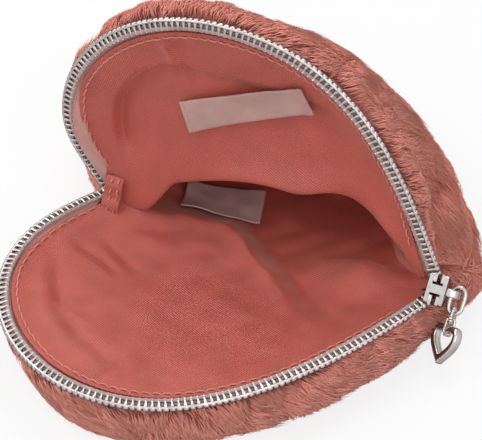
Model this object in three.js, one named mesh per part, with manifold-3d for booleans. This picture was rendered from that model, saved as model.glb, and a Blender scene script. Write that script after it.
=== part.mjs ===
// Heart-shaped plush cosmetic bag, unzipped and lying open on its front panel.
// The zip runs along one half of the heart, from the notch to the tip. That half of the
// back panel is folded up as a flap, and the sewn half lies behind it.
// Millimetres, +Z up. X runs from the notch to the tip, and the mouth opens towards -Y.

import * as THREE from 'three';
import { mergeVertices } from 'three/addons/utils/BufferGeometryUtils.js';
import Module from 'manifold-3d';

const wasm = await Module();
wasm.setup();

// Heart outline, as the zip and the seam run round it
const NOTCH_TO_TIP = 100;
const HALF_WIDTH = 67; // from the axis between notch and tip to the widest place
const LOBE_REACH = 14; // how far a lobe reaches past the notch
const LOBE_SIDE = 31; // distance of that reach from the axis
const LOBE_TOP = 27; // distance of the widest place from the notch
const NOTCH_ANGLE = 52; // degrees from the axis at which the outline leaves the notch
const TIP_ANGLE = 62; // degrees from the axis at which it meets the tip
const HEART_MIDDLE = 44; // distance of the heart's middle from the notch

// The same edge on the flap, drawn in at its lobe and fuller towards the tip as it stands up
const FLAP_TUCK = 3; // how far its widest place is drawn in
const FLAP_TOP_SHIFT = 6; // and moved towards the tip
const FLAP_LOBE_IN = 1.2; // how much less its lobe reaches past the notch
const FLAP_LOBE_DROP = 7.5; // and how much nearer to the axis
const FLAP_TIP_ANGLE = 66; // degrees from the axis at which it meets the tip

// Cloth layers, from the lining's visible face outwards
const LINING = 0.8;
const TAPE = 0.6;
const FUR = 11; // backing and pile
const FUR_AT_ENDS = 0.8; // the same where the heart narrows to nothing
const FUR_GROWTH = 0.3; // and its growth with the heart's half width
const ROOF_FUR_AT_ENDS = 0.4; // share of it left under the flap's corners
const LAYER_GAP = 0.3; // clearance between layers and pieces that touch
const COIL_DEPTH = 1; // middle of the teeth

// Open bag
const ZIP_HEIGHT = 15.5; // zip line above the ground
const FRONT_DISH = 5.4; // depth of the front lining below the zip line, where it billows up
const VALLEY_DISH = 10; // the same behind the billow's crest
const CREST_OFFSET = 5.5; // distance of the crest from the axis, on the sewn side
const CREST_TURN = 13; // distance from the origin, towards the notch, at which it turns to the zip side
const CREST_SLOPE = 0.74; // and how steeply it turns
const CREST_SPREAD = 11; // length over which the lining falls from the crest
const TIP_HUMP = 3.4; // swell of the front lining near the tip
const TIP_HUMP_X = 26;
const TIP_HUMP_LENGTH = 9;
const TIP_HUMP_WIDTH = 6.5;
const FLAP_ANGLE = 100; // degrees between the front panel and the flap
const FLAP_DISH = 6; // depth of the flap's lining behind its zip line
const CLOSED_LEFT = 5; // degrees left between the panels with the mouth folded shut
const GROOVE = 1.2; // crescent fold in the flap's lining, round its lobe
const GROOVE_X = -27; // middle of that crescent
const GROOVE_RISE = 25;
const GROOVE_RADIUS = 22;
const GROOVE_SPREAD = 8;
const LIP_RISE = 22; // height of the back panel's fold above the axis
const LIP_END = 7; // the same at the notch and the tip
const FOLD_SLOPE = 10; // how much higher the fold lies on the plush side
const FOLD_GAP = 0.6; // between the two halves of the back panel's plush
const ROOF_CROWN = 2; // swell of the sewn half above the fold
const ROOF_SHOULDER = 17; // swell of the sewn half above the seam
const ROOF_DROOP = 0.9; // share of the fold's height that it loses under the flap's corners
const OVERHANG = 5; // plush beyond the zip line
const SEWN_OVERHANG = 12.5; // plush beyond the seam of the sewn half
const TIP_OVERHANG = 3.2;
const NOTCH_OVERHANG = 0.8;
const SOLE_INSET = 3; // flat underside, inside the zip line
const LOBE_TUCK = 9; // how much further in it starts below the lobe at the zip
const SEAM_INSET = 1.5; // front lining's edge on the sewn side

// Zip
const TOOTH_PITCH = 1.75;
const TOOTH_WIDTH = 3.2;
const TOOTH_HEIGHT = 2.2;
const CORD_WIDTH = 1.5; // core that carries the teeth
const CORD_HEIGHT = 1.1;
const TAPE_WIDTH = 7.5;
const LINING_INSET = 4.6; // lining edge, inside the zip line
const STITCH_INSET = 1.6; // topstitch, inside the lining edge
const STITCH_PITCH = 3;
const THREAD = 0.6;
const ZIP_END_CLEAR = 8; // coils stop this far from the axis, clear of the slider

// End tab at the notch
const TAB_LENGTH = 5;
const TAB_THICKNESS = 0.8;
const TAB_RADIUS = 5;
const TAB_FROM_NOTCH = 2.5;

// Labels
const LABEL_LENGTH = 38;
const LABEL_HEIGHT = 9.3;
const LABEL_TURN = 24.6; // degrees from the axis
const LABEL_MIDDLE_X = -11;
const LABEL_DROP = 26; // its middle below the flap's top
const LABEL_SAG = 1.4; // its middle stands off the lining
const LABEL_THICKNESS = 0.5;
const CARE_LENGTH = 22;
const CARE_WIDTH = 12;
const CARE_MIDDLE_X = -20;
const CARE_MIDDLE_Y = 13;
const CARE_TURN = 12;
const CARE_LIFT = 1.2; // stands off the valley of the lining

// Slider, in its own directions: outwards from the bag, forwards along the zip, and down
const PLATE_LENGTH = 9.6;
const PLATE_WIDTH = 8.6;
const PLATE_TAIL = 5.4; // width at its closed end
const PLATE_THICKNESS = 1.1;
const PLATE_SPACE = 3; // between the plates
const POST_LENGTH = 3.4;
const POST_WIDTH = 2.4;
const FLANGE = 0.8;
const TAPE_SLOT = 1.2; // between the flanges
const SLIDER_TRAVEL = 6;
const POCKET_CLEAR = 0.8;
const CROWN_WIDTH = 2.2;
const CROWN_STRAP = 0.9;
const CROWN_ROOM = 2.6; // under the strap
const CROWN_LENGTH = 7;
const STOP_LENGTH = 2;
const STOP_WIDTH = 5;

// Pull chain
const LINK_WIRE = 1.2;
const LINK_LENGTH = 8.6;
const LINK_WIDTH = 5;
const RING_WIRE = 1.1;
const RING_WIDTH = 5;
const RING_RIDGES = 18;
const RIDGE = 0.12;
const EYELET_WIRE = 0.8;
const EYELET_WIDTH = 3.1;
const PENDANT_WIDTH = 11.5;
const PENDANT_HEIGHT = 11;
const PENDANT_DEPTH = 2.6;
const PENDANT_WALL = 1.7;
const PENDANT_TURN = 45; // degrees of the heart out of the link's plane
const CHAIN_PLAY = 0.1; // between one wire and the next
const LINK_DROP = 0.5; // room of the link's round end over the strap

// Facets
const HEART_STEPS = 28; // along half the heart
const WIRE_SIDES = 6;
const WIRE_STEPS = 20;
const CURVE_STEPS = 6;

const NOTCH_X = -NOTCH_TO_TIP / 2;
const TIP_X = NOTCH_TO_TIP / 2;
const TAPE_START = LINING + LAYER_GAP;
const FUR_START = Math.max(TAPE_START + TAPE, COIL_DEPTH + TOOTH_HEIGHT / 2) + LAYER_GAP;
const radians = THREE.MathUtils.degToRad;
const mix = THREE.MathUtils.lerp;

const plush = new THREE.MeshStandardMaterial({ color: 0xbc7068, roughness: 1, metalness: 0 });
const twill = new THREE.MeshStandardMaterial({ color: 0xbe5850, roughness: 0.6, metalness: 0 });
const webbing = new THREE.MeshStandardMaterial({ color: 0xcd8278, roughness: 0.9, metalness: 0 });
const silver = new THREE.MeshStandardMaterial({ color: 0xbeb4b2, roughness: 0.35, metalness: 0.6 });
const satin = new THREE.MeshStandardMaterial({ color: 0xe8cfc9, roughness: 0.7, metalness: 0 });
const thread = new THREE.MeshStandardMaterial({ color: 0xdca79f, roughness: 0.8, metalness: 0 });
const nickel = new THREE.MeshStandardMaterial({ color: 0xc9c6c2, roughness: 0.18, metalness: 1 });

const bag = new THREE.Group();
bag.name = 'cosmetic_bag';

function add(name, geometry, material) {
  const mesh = new THREE.Mesh(geometry, material.clone());
  mesh.name = name;
  bag.add(mesh);
}

// Half of a heart in its own plane: x along the axis, y away from it
function heartHalf({ reach, side, top, width, tipAngle, topHandle, tipHandle }) {
  const notch = new THREE.Vector2(NOTCH_X, 0);
  const lobe = new THREE.Vector2(NOTCH_X - reach, side);
  const widest = new THREE.Vector2(NOTCH_X + top, width);
  const tip = new THREE.Vector2(TIP_X, 0);
  const bend = 0.552; // handle length of a quarter round
  const notchWay = new THREE.Vector2(-Math.cos(radians(NOTCH_ANGLE)), Math.sin(radians(NOTCH_ANGLE)));
  const tipWay = new THREE.Vector2(-Math.cos(radians(tipAngle)), Math.sin(radians(tipAngle)));
  const path = new THREE.CurvePath();
  path.add(new THREE.CubicBezierCurve(
    notch,
    notch.clone().addScaledVector(notchWay, 0.45 * side),
    lobe.clone().setY(0.62 * side),
    lobe,
  ));
  path.add(new THREE.CubicBezierCurve(
    lobe,
    lobe.clone().setY(mix(side, width, bend)),
    widest.clone().setX(mix(widest.x, lobe.x, bend)),
    widest,
  ));
  path.add(new THREE.CubicBezierCurve(
    widest,
    widest.clone().setX(mix(widest.x, TIP_X, topHandle)),
    tip.clone().addScaledVector(tipWay, tipHandle * width),
    tip,
  ));
  return path;
}

const half = heartHalf({
  reach: LOBE_REACH,
  side: LOBE_SIDE,
  top: LOBE_TOP,
  width: HALF_WIDTH,
  tipAngle: TIP_ANGLE,
  topHandle: 0.45,
  tipHandle: 0.55,
});
const flapHalf = heartHalf({
  reach: LOBE_REACH - FLAP_LOBE_IN,
  side: LOBE_SIDE - FLAP_LOBE_DROP,
  top: LOBE_TOP + FLAP_TOP_SHIFT,
  width: HALF_WIDTH - FLAP_TUCK,
  tipAngle: FLAP_TIP_ANGLE,
  topHandle: 0.52,
  tipHandle: 0.68,
});
const edge = (share) => half.getPoint(share);
const flapEdge = (share) => flapHalf.getPoint(share);
const EDGE_LENGTH = half.getLength();

// Share of the way from notch to tip at which the outline is this far from the axis
function shareAtHeight(height, fromTip) {
  const steps = 400;
  let share = 0;
  while (share < 1 && edge(fromTip ? 1 - share : share).y < height) share += 1 / steps;
  return fromTip ? 1 - share : share;
}

const smooth = (value) => THREE.MathUtils.smoothstep(value, 0, 1);

// Plush overhang along the outline: less round the notch and beside the slider, more on the sewn side
function overhangAt(share, sewn) {
  const fromNotch = sewn ? smooth(share / 0.3) : smooth((share - 0.14) / 0.28);
  const fromTip = smooth((1 - share) / (sewn ? 0.07 : 0.14));
  return mix(NOTCH_OVERHANG, mix(TIP_OVERHANG, sewn ? SEWN_OVERHANG : OVERHANG, fromTip), fromNotch);
}

// Surface through closed loops of equal count. Loops of one point close an end, and other
// ends are covered by a strip between the loop's two halves. A ring joins last to first.
function loft(loops, ring = false) {
  const positions = [];
  const starts = [];
  for (const loop of loops) {
    starts.push(positions.length / 3);
    for (const point of loop) positions.push(point.x, point.y, point.z);
  }
  const index = [];
  const last = loops.length - 1;
  for (let i = 0; i < (ring ? loops.length : last); i++) {
    const next = ring ? (i + 1) % loops.length : i + 1;
    const count = Math.max(loops[i].length, loops[next].length);
    for (let j = 0; j < count; j++) {
      const k = (j + 1) % count;
      const a = starts[i] + (j % loops[i].length);
      const b = starts[i] + (k % loops[i].length);
      const c = starts[next] + (j % loops[next].length);
      const d = starts[next] + (k % loops[next].length);
      if (a !== b) index.push(a, b, c);
      if (c !== d) index.push(b, d, c);
    }
  }
  const cover = (start, count, flip) => {
    for (let j = 0; j < count / 2 - 1; j++) {
      const a = start + j;
      const b = start + j + 1;
      const c = start + count - 1 - j;
      const d = start + count - 2 - j;
      index.push(...(flip ? [a, c, b, b, c, d] : [a, b, c, b, d, c]));
    }
  };
  if (!ring && loops[0].length > 1) cover(starts[0], loops[0].length, true);
  if (!ring && loops[last].length > 1) cover(starts[last], loops[last].length, false);
  return facingOut(positions, index);
}

// Closed geometry whose faces point outwards
function facingOut(positions, index) {
  let volume = 0;
  const corner = (i) => new THREE.Vector3().fromArray(positions, 3 * i);
  for (let i = 0; i < index.length; i += 3) {
    const [a, b, c] = [corner(index[i]), corner(index[i + 1]), corner(index[i + 2])];
    volume += a.dot(b.cross(c));
  }
  if (volume < 0) index.reverse();
  const geometry = new THREE.BufferGeometry();
  geometry.setAttribute('position', new THREE.Float32BufferAttribute(positions, 3));
  geometry.setIndex(index);
  return geometry;
}

// Closed solid for joining and cutting
function solid(geometry) {
  const bare = geometry.clone();
  for (const name of ['normal', 'uv']) bare.deleteAttribute(name);
  const merged = mergeVertices(bare, 1e-4);
  return new wasm.Manifold(new wasm.Mesh({
    numProp: 3,
    vertProperties: new Float32Array(merged.attributes.position.array),
    triVerts: new Uint32Array(merged.index.array),
  }));
}

function shape(body) {
  const mesh = body.getMesh();
  const geometry = new THREE.BufferGeometry();
  geometry.setAttribute('position', new THREE.Float32BufferAttribute(mesh.vertProperties, 3));
  geometry.setIndex([...mesh.triVerts]);
  return geometry;
}

// Front panel: rays from the heart's middle to its outline, the zip side at -Y
const MIDDLE = new THREE.Vector2(NOTCH_X + HEART_MIDDLE, 0);

function rayAt(share, side) {
  const rim = edge(share);
  rim.y *= side;
  const way = rim.clone().sub(MIDDLE);
  const length = way.length();
  return { rim, way: way.divideScalar(length), length };
}

// Depth of the front lining's sag: a billow, and a valley behind its crest that is deepest in the middle
function frontSag(x, y) {
  const crest = CREST_OFFSET - CREST_SLOPE * (x + CREST_TURN) * smooth((x + CREST_TURN + 9) / 18);
  const behind = smooth((y - crest + 3) / CREST_SPREAD);
  const middle = smooth((x + 44) / 16) * (1 - 0.45 * smooth((x - 12) / 18));
  const away = ((x - TIP_HUMP_X) / TIP_HUMP_LENGTH) ** 2 + ((y - 1) / TIP_HUMP_WIDTH) ** 2;
  return mix(FRONT_DISH, VALLEY_DISH, behind * middle) - TIP_HUMP * Math.exp(-away);
}

// Height of the front lining's visible face at a place that is a share of the way out to the zip line
function frontHeight(share, x, y) {
  return ZIP_HEIGHT - frontSag(x, y) * (1 - Math.min(share, 1) ** 3.5);
}

function onRay(ray, out, height) {
  return new THREE.Vector3(ray.rim.x + ray.way.x * out, ray.rim.y + ray.way.y * out, height);
}

// Place on a ray, given by its distance past the zip line and its depth under the lining's face
function onFront(ray, out, depth) {
  const place = onRay(ray, out, 0);
  place.z = frontHeight(1 + out / ray.length, place.x, place.y) - depth;
  return place;
}

// All rays round the heart: out along the zip side and back along the sewn side
function allRays() {
  const rays = [];
  const put = (share, side) => {
    const fromEnds = smooth(Math.min(share, 1 - share) / 0.1);
    const hang = overhangAt(share, side > 0);
    const tuck = side > 0 ? 0 : LOBE_TUCK * smooth(share / 0.08) * (1 - smooth((share - 0.26) / 0.22));
    rays.push({ ...rayAt(share, side), share, hang, tuck, sewn: side > 0 ? fromEnds : 0 });
  };
  for (let i = 0; i < HEART_STEPS; i++) put(i / HEART_STEPS, -1);
  for (let i = HEART_STEPS; i > 0; i--) put(i / HEART_STEPS, 1);
  return rays;
}

const rays = allRays();
const middleAt = (height) => [new THREE.Vector3(MIDDLE.x, MIDDLE.y, height)];
const MIDDLE_HEIGHT = frontHeight(0, MIDDLE.x, MIDDLE.y);
const FRONT_RINGS = 6; // rings of the lining between its middle and its edge
const frontRings = Array.from({ length: FRONT_RINGS }, (_, i) => 0.9 * ((i + 1) / FRONT_RINGS) ** 0.9);
const ringAt = (share, depth) => rays.map((ray) => onFront(ray, (share - 1) * ray.length, depth));

function frontFur() {
  const rimHeight = (ray) => mix(ZIP_HEIGHT - FUR_START, ZIP_HEIGHT, ray.sewn);
  const round = (out, level) => rays.map((ray) => (
    onRay(ray, out * ray.hang - (1 - level) * ray.tuck, level * rimHeight(ray))
  ));
  return loft([
    middleAt(MIDDLE_HEIGHT - FUR_START),
    ...[...frontRings, 0.95].map((share) => ringAt(share, FUR_START)),
    rays.map((ray) => onRay(ray, mix(-LAYER_GAP, LAYER_GAP, ray.sewn), rimHeight(ray))),
    round(0.62, 0.96),
    round(1, 0.62),
    round(0.86, 0.32),
    round(0.3, 0.08),
    rays.map((ray) => onRay(ray, -SOLE_INSET - ray.tuck, 0)),
    middleAt(0),
  ]);
}

function frontLining() {
  const inset = (depth) => rays.map((ray) => onFront(ray, -mix(LINING_INSET, SEAM_INSET, ray.sewn), depth));
  return loft([
    middleAt(MIDDLE_HEIGHT),
    ...frontRings.map((share) => ringAt(share, 0)),
    inset(0),
    inset(LINING),
    ...frontRings.map((share) => ringAt(share, LINING)).reverse(),
    middleAt(MIDDLE_HEIGHT - LINING),
  ]);
}

// Flap: places by x, rise up the flap from the axis, and depth behind its zip line
const FLAP_UP = new THREE.Vector3(0, -Math.cos(radians(FLAP_ANGLE)), Math.sin(radians(FLAP_ANGLE)));
const FLAP_OUT = new THREE.Vector3(0, Math.sin(radians(FLAP_ANGLE)), Math.cos(radians(FLAP_ANGLE)));

function onFlap(x, rise, depth) {
  return new THREE.Vector3(x, 0, ZIP_HEIGHT).addScaledVector(FLAP_UP, rise).addScaledVector(FLAP_OUT, depth);
}

const FLAP_START = shareAtHeight(LIP_END + 2, false);
const FLAP_END = shareAtHeight(LIP_END + 5, true);
const LIP_START_X = NOTCH_X + 4;
const LIP_END_X = TIP_X - LIP_END - 4;

// Section of the flap from its fold to the zip line
function flapSection(share) {
  const along = (share - FLAP_START) / (FLAP_END - FLAP_START);
  const x = mix(LIP_START_X, LIP_END_X, along);
  const swell = Math.sin(Math.PI * along ** 1.25) ** 0.8;
  const rise = mix(LIP_END, LIP_RISE, swell);
  const lip = new THREE.Vector2(x, rise);
  const rim = flapEdge(share);
  const way = rim.clone().sub(lip);
  const length = way.length();
  return { lip, rim, way: way.divideScalar(length), length, swell };
}

const flapDepth = (part, swell) => FLAP_DISH * swell * Math.sin(Math.PI * part ** 0.8);

// Place on a section, given by its distance past the zip line and its depth behind the lining's face
function onSection(section, out, depth) {
  const part = THREE.MathUtils.clamp(1 + out / section.length, 0, 1);
  const place = section.rim.clone().addScaledVector(section.way, out);
  return onFlap(place.x, place.y, flapDepth(part, section.swell) + depth);
}

function sections(from, to, count) {
  const list = [];
  for (let i = 0; i <= count; i++) {
    const share = mix(from, to, i / count);
    list.push({ ...flapSection(share), share });
  }
  return list;
}

const flapSections = sections(FLAP_START, FLAP_END, HEART_STEPS);
const foldSlope = (section) => FOLD_SLOPE * section.lip.y / LIP_RISE;
const tapeInset = (section) => Math.min(TAPE_WIDTH, 0.8 * section.length);
const liningInset = (section) => Math.min(LINING_INSET, 0.6 * section.length);
const stitchInset = (section) => Math.min(LINING_INSET + STITCH_INSET, 0.7 * section.length);

// Plush of the back panel, pressed thinner where the heart narrows to the notch and the tip
const furAt = (section) => Math.min(FUR, FUR_AT_ENDS + FUR_GROWTH * section.rim.y);

// The fold's cut through the plush, from the lining side to the outside
function onFold(section, depth, back) {
  const rise = foldSlope(section) * depth / (FUR_START + furAt(section));
  return onSection(section, rise - section.length - back, depth);
}

// Rows that all layers of the flap share, from the fold to the lining's edge
function flapRows(section) {
  const parts = [0, 0.17, 0.34, 0.51, 0.68, 0.85];
  const inner = parts.map((part) => mix(-section.length, -tapeInset(section), part));
  return [...inner, -tapeInset(section), -stitchInset(section), -liningInset(section)];
}

function flapFur() {
  return loft(flapSections.map((section) => {
    const outside = FUR_START + furAt(section);
    const part = (share, depth) => onSection(section, (share - 1) * section.length, depth);
    const hang = overhangAt(section.share, false);
    const round = (out, level) => onSection(section, out * hang, mix(FUR_START, outside, level));
    const [, ...rows] = flapRows(section);
    return [
      onFold(section, FUR_START, 0),
      ...rows.map((out) => onSection(section, out, FUR_START)),
      onSection(section, -LAYER_GAP, FUR_START),
      round(0.62, 0.06),
      round(1, 0.36),
      round(0.86, 0.66),
      round(0.3, 0.93),
      ...[0.92, 0.84, 0.76].map((share) => part(share, outside)),
      onFold(section, outside, 0),
      onFold(section, mix(FUR_START, outside, 0.5), 0),
    ];
  }));
}

// Crescent fold of the flap's lining: steep on its outer side, and easing off towards its middle
function grooveAt(section, out) {
  const place = section.rim.clone().addScaledVector(section.way, out);
  const inside = GROOVE_RADIUS - Math.hypot(place.x - GROOVE_X, place.y - GROOVE_RISE);
  const there = smooth((GROOVE_X - place.x) / 10) * smooth(1 + out / section.length);
  return GROOVE * there * smooth(inside / 2.5 + 0.5) * Math.exp(-Math.max(inside, 0) / GROOVE_SPREAD);
}

function flapLining() {
  return loft(flapSections.map((section) => {
    const rows = flapRows(section);
    const inside = rows.map((out) => onSection(section, out, grooveAt(section, out)));
    const outside = rows.map((out) => onSection(section, out, grooveAt(section, out) + LINING));
    return [...inside, ...outside.reverse()];
  }));
}

// Sewn half of the back panel: an arched roof from the fold down to the seam
const ROOF_FUR_START = LINING + LAYER_GAP;
const roofFurAt = (section) => furAt(section) * mix(ROOF_FUR_AT_ENDS, 1, section.swell);

function roofSection(share) {
  const flap = flapSection(share);
  const start = onFlap(flap.lip.x, flap.lip.y - ROOF_FUR_START - LAYER_GAP, 0);
  const rim = edge(share);
  const seam = new THREE.Vector3(rim.x, rim.y, ZIP_HEIGHT + LAYER_GAP);
  const level = new THREE.Vector2(seam.x - start.x, seam.y - start.y);
  const length = level.length();
  const droop = ROOF_DROOP * (1 - flap.swell) * (start.z - seam.z);
  const arch = new THREE.CubicBezierCurve(
    new THREE.Vector2(0, start.z),
    new THREE.Vector2(0.3 * length, start.z + ROOF_CROWN * flap.swell - droop),
    new THREE.Vector2(0.92 * length, seam.z + ROOF_SHOULDER * flap.swell ** 2),
    new THREE.Vector2(length, seam.z),
  );
  return { flap, start, way: level.divideScalar(length), arch, share };
}

function onRoof(roof, part, depth, out = 0) {
  const place = roof.arch.getPoint(part);
  const run = roof.arch.getTangent(part);
  const away = place.x - run.y * depth + run.x * out;
  const height = place.y + run.x * depth + run.y * out;
  return new THREE.Vector3(roof.start.x + roof.way.x * away, roof.start.y + roof.way.y * away, height);
}

const roofs = flapSections.map((section) => roofSection(section.share));
const roofParts = [0.03, 0.2, 0.4, 0.6, 0.8, 0.93]; // rows that its layers share

// Rim of the sewn half: swells out past the seam and stays above the front panel's rim
function roofRim(roof, out, level) {
  const rim = edge(roof.share);
  const along = edge(roof.share + 0.002).sub(edge(roof.share - 0.002)).normalize();
  const reach = out * overhangAt(roof.share, true);
  const seam = ZIP_HEIGHT + LAYER_GAP;
  const height = mix(seam, seam + roofFurAt(roof.flap), level);
  return new THREE.Vector3(rim.x - along.y * reach, rim.y + along.x * reach, height);
}

function roofFur() {
  return loft(roofs.map((roof) => {
    const outside = ROOF_FUR_START + roofFurAt(roof.flap);
    const fold = (share) => onFold(roof.flap, share * (FUR_START + furAt(roof.flap)), FOLD_GAP);
    return [
      ...roofParts.map((part) => onRoof(roof, part, ROOF_FUR_START)),
      roofRim(roof, 0, 0),
      roofRim(roof, 0.8, 0.06),
      roofRim(roof, 1, 0.4),
      roofRim(roof, 0.6, 0.8),
      ...[0.8, 0.66, 0.52, 0.38].map((part) => onRoof(roof, part, outside)),
      fold(1),
      fold(0.5),
    ];
  }));
}

function roofLining() {
  const parts = [0, ...roofParts];
  return loft(roofs.map((roof) => [
    ...parts.map((part) => onRoof(roof, part, 0)),
    ...parts.map((part) => onRoof(roof, part, LINING)).reverse(),
  ]));
}

// Zip pieces follow the outline on either panel: place(share, out, depth)
function frontPlace(share, out, depth) {
  const ray = rayAt(share, -1);
  return onFront(ray, out, depth);
}

function flapPlace(share, out, depth) {
  const section = flapSection(THREE.MathUtils.clamp(share, FLAP_START, FLAP_END));
  const rim = flapEdge(share);
  const shift = rim.sub(section.rim);
  const place = onSection(section, out, depth);
  return place.add(new THREE.Vector3(shift.x, 0, 0)).addScaledVector(FLAP_UP, shift.y);
}

const ZIP_START = shareAtHeight(LIP_END, false);
const ZIP_END = shareAtHeight(ZIP_END_CLEAR, true);

function tape(place) {
  const outer = -TOOTH_WIDTH / 2 - LAYER_GAP;
  const loops = [];
  for (const section of flapSections) {
    const { share } = section;
    const inner = -tapeInset(section);
    const middle = -liningInset(section);
    loops.push([
      place(share, inner, TAPE_START),
      place(share, middle, TAPE_START),
      place(share, outer, TAPE_START),
      place(share, outer, TAPE_START + TAPE),
      place(share, middle, TAPE_START + TAPE),
      place(share, inner, TAPE_START + TAPE),
    ]);
  }
  return loft(loops);
}

// Row of teeth: a core that swells into a tooth at every pitch
function coil(place) {
  const run = (ZIP_END - ZIP_START) * EDGE_LENGTH;
  const count = Math.floor(run / TOOTH_PITCH);
  const loops = [];
  for (let i = 0; i <= 2 * count; i++) {
    const share = mix(ZIP_START, ZIP_END, i / (2 * count));
    const tooth = i % 2 === 1;
    const width = (tooth ? TOOTH_WIDTH : CORD_WIDTH) / 2;
    const height = (tooth ? TOOTH_HEIGHT : CORD_HEIGHT) / 2;
    loops.push([
      place(share, -width, COIL_DEPTH - 0.5 * height),
      place(share, width, COIL_DEPTH - height),
      place(share, width, COIL_DEPTH + height),
      place(share, -width, COIL_DEPTH + 0.5 * height),
    ]);
  }
  return loft(loops);
}

// Thread on the lining: a cord that swells at every stitch
function topstitch(place) {
  const inset = LINING_INSET + STITCH_INSET;
  const from = shareAtHeight(LIP_END + inset, false);
  const to = shareAtHeight(LIP_END + 2 * inset, true);
  const count = Math.floor((to - from) * EDGE_LENGTH / STITCH_PITCH);
  const loops = [];
  for (let i = 0; i <= 2 * count; i++) {
    const share = mix(from, to, i / (2 * count));
    const size = (i % 2 === 1 ? 1 : 0.5) * THREAD;
    const base = -LAYER_GAP;
    loops.push([
      place(share, -inset - size / 2, base),
      place(share, -inset + size / 2, base),
      place(share, -inset + size / 4, base - size),
      place(share, -inset - size / 4, base - size),
    ]);
  }
  return loft(loops);
}

// Tab of lining cloth round the zip's end, bent about the axis between the panels
function endTab() {
  const loops = [];
  const steps = 8;
  const seat = frontHeight(1 - LINING_INSET / HEART_MIDDLE, NOTCH_X + LINING_INSET, 0) + LAYER_GAP;
  const drop = Math.asin((ZIP_HEIGHT - seat) / TAB_RADIUS);
  for (let i = 0; i <= steps; i++) {
    const angle = mix(-drop, radians(FLAP_ANGLE - CLOSED_LEFT), i / steps);
    const at = (x, radius) => new THREE.Vector3(
      x,
      -Math.cos(angle) * radius,
      ZIP_HEIGHT + Math.sin(angle) * radius,
    );
    const x = NOTCH_X + TAB_FROM_NOTCH;
    loops.push([
      at(x, TAB_RADIUS - TAB_THICKNESS),
      at(x + TAB_LENGTH, TAB_RADIUS - TAB_THICKNESS),
      at(x + TAB_LENGTH, TAB_RADIUS),
      at(x, TAB_RADIUS),
    ]);
  }
  return loft(loops);
}

// Depth of the flap's lining behind its zip line at a place on the flap
function flapDepthAt(x, rise) {
  let best = { miss: Infinity, depth: 0 };
  for (let i = 0; i <= 200; i++) {
    const section = flapSection(mix(FLAP_START, FLAP_END, i / 200));
    const from = new THREE.Vector2(x, rise).sub(section.lip);
    const miss = Math.abs(from.cross(section.way));
    const part = THREE.MathUtils.clamp(from.dot(section.way) / section.length, 0, 1);
    if (miss < best.miss) best = { miss, depth: flapDepth(part, section.swell) };
  }
  return best.depth;
}

// Ribbon label, sewn down at both ends, with its middle standing off the lining
function wovenLabel() {
  const turn = radians(LABEL_TURN);
  const steps = 12;
  const loops = [];
  for (let i = 0; i <= steps; i++) {
    const along = (i / steps - 0.5) * LABEL_LENGTH;
    const lift = LAYER_GAP + LABEL_SAG * Math.sin(Math.PI * i / steps);
    const at = (across, extra) => {
      const x = LABEL_MIDDLE_X + along * Math.cos(turn) - across * Math.sin(turn);
      const rise = HALF_WIDTH - FLAP_TUCK - LABEL_DROP + along * Math.sin(turn) + across * Math.cos(turn);
      return onFlap(x, rise, flapDepthAt(x, rise) - lift - extra);
    };
    const side = LABEL_HEIGHT / 2;
    loops.push([
      at(-side, 0), at(0, 0), at(side, 0),
      at(side, LABEL_THICKNESS), at(0, LABEL_THICKNESS), at(-side, LABEL_THICKNESS),
    ]);
  }
  return loft(loops);
}

// Care label lying on the front lining inside the sewn half
function careLabel() {
  const turn = radians(CARE_TURN);
  const steps = 8;
  const loops = [];
  for (let i = 0; i <= steps; i++) {
    const along = (i / steps - 0.5) * CARE_LENGTH;
    const at = (across, extra) => {
      const x = CARE_MIDDLE_X + along * Math.cos(turn) - across * Math.sin(turn);
      const y = CARE_MIDDLE_Y + along * Math.sin(turn) + across * Math.cos(turn);
      const lining = frontHeight(shareOut(x, y), x, y);
      return new THREE.Vector3(x, y, lining + CARE_LIFT + extra);
    };
    const side = CARE_WIDTH / 2;
    loops.push([
      at(-side, 0), at(0, 0), at(side, 0),
      at(side, LABEL_THICKNESS), at(0, LABEL_THICKNESS), at(-side, LABEL_THICKNESS),
    ]);
  }
  return loft(loops);
}

// Share of the way from the heart's middle to its outline at a place on the front panel
function shareOut(x, y) {
  const from = new THREE.Vector2(x, y).sub(MIDDLE);
  const angle = Math.abs(from.angle() > Math.PI ? 2 * Math.PI - from.angle() : from.angle());
  let low = 0;
  let high = 1;
  for (let i = 0; i < 40; i++) {
    const share = (low + high) / 2;
    const rim = edge(share).sub(MIDDLE);
    if (rim.angle() > angle) low = share;
    else high = share;
  }
  return from.length() / edge(low).sub(MIDDLE).length();
}

// Slider frame at the tip: outwards is +X, forwards bisects the open mouth
const HALF_OPEN = radians(FLAP_ANGLE / 2);
const OUTWARDS = new THREE.Vector3(1, 0, 0);
const FORWARDS = new THREE.Vector3(0, -Math.cos(HALF_OPEN), Math.sin(HALF_OPEN));
const DOWN = new THREE.Vector3().crossVectors(OUTWARDS, FORWARDS);
const sliderFrame = new THREE.Matrix4()
  .makeBasis(OUTWARDS, FORWARDS, DOWN)
  .setPosition(TIP_X, 0, ZIP_HEIGHT);

// Profile in the plane of two slider directions, thickened along the third
function extruded(outline, thickness, start, xAxis, yAxis, zAxis) {
  const options = { depth: thickness, bevelEnabled: false, curveSegments: CURVE_STEPS };
  const geometry = new THREE.ExtrudeGeometry(outline, options);
  const basis = new THREE.Matrix4().makeBasis(xAxis, yAxis, zAxis);
  return geometry.translate(0, 0, start).applyMatrix4(basis);
}

const A = new THREE.Vector3(1, 0, 0); // outwards
const B = new THREE.Vector3(0, 1, 0); // forwards
const C = new THREE.Vector3(0, 0, 1); // down

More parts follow.
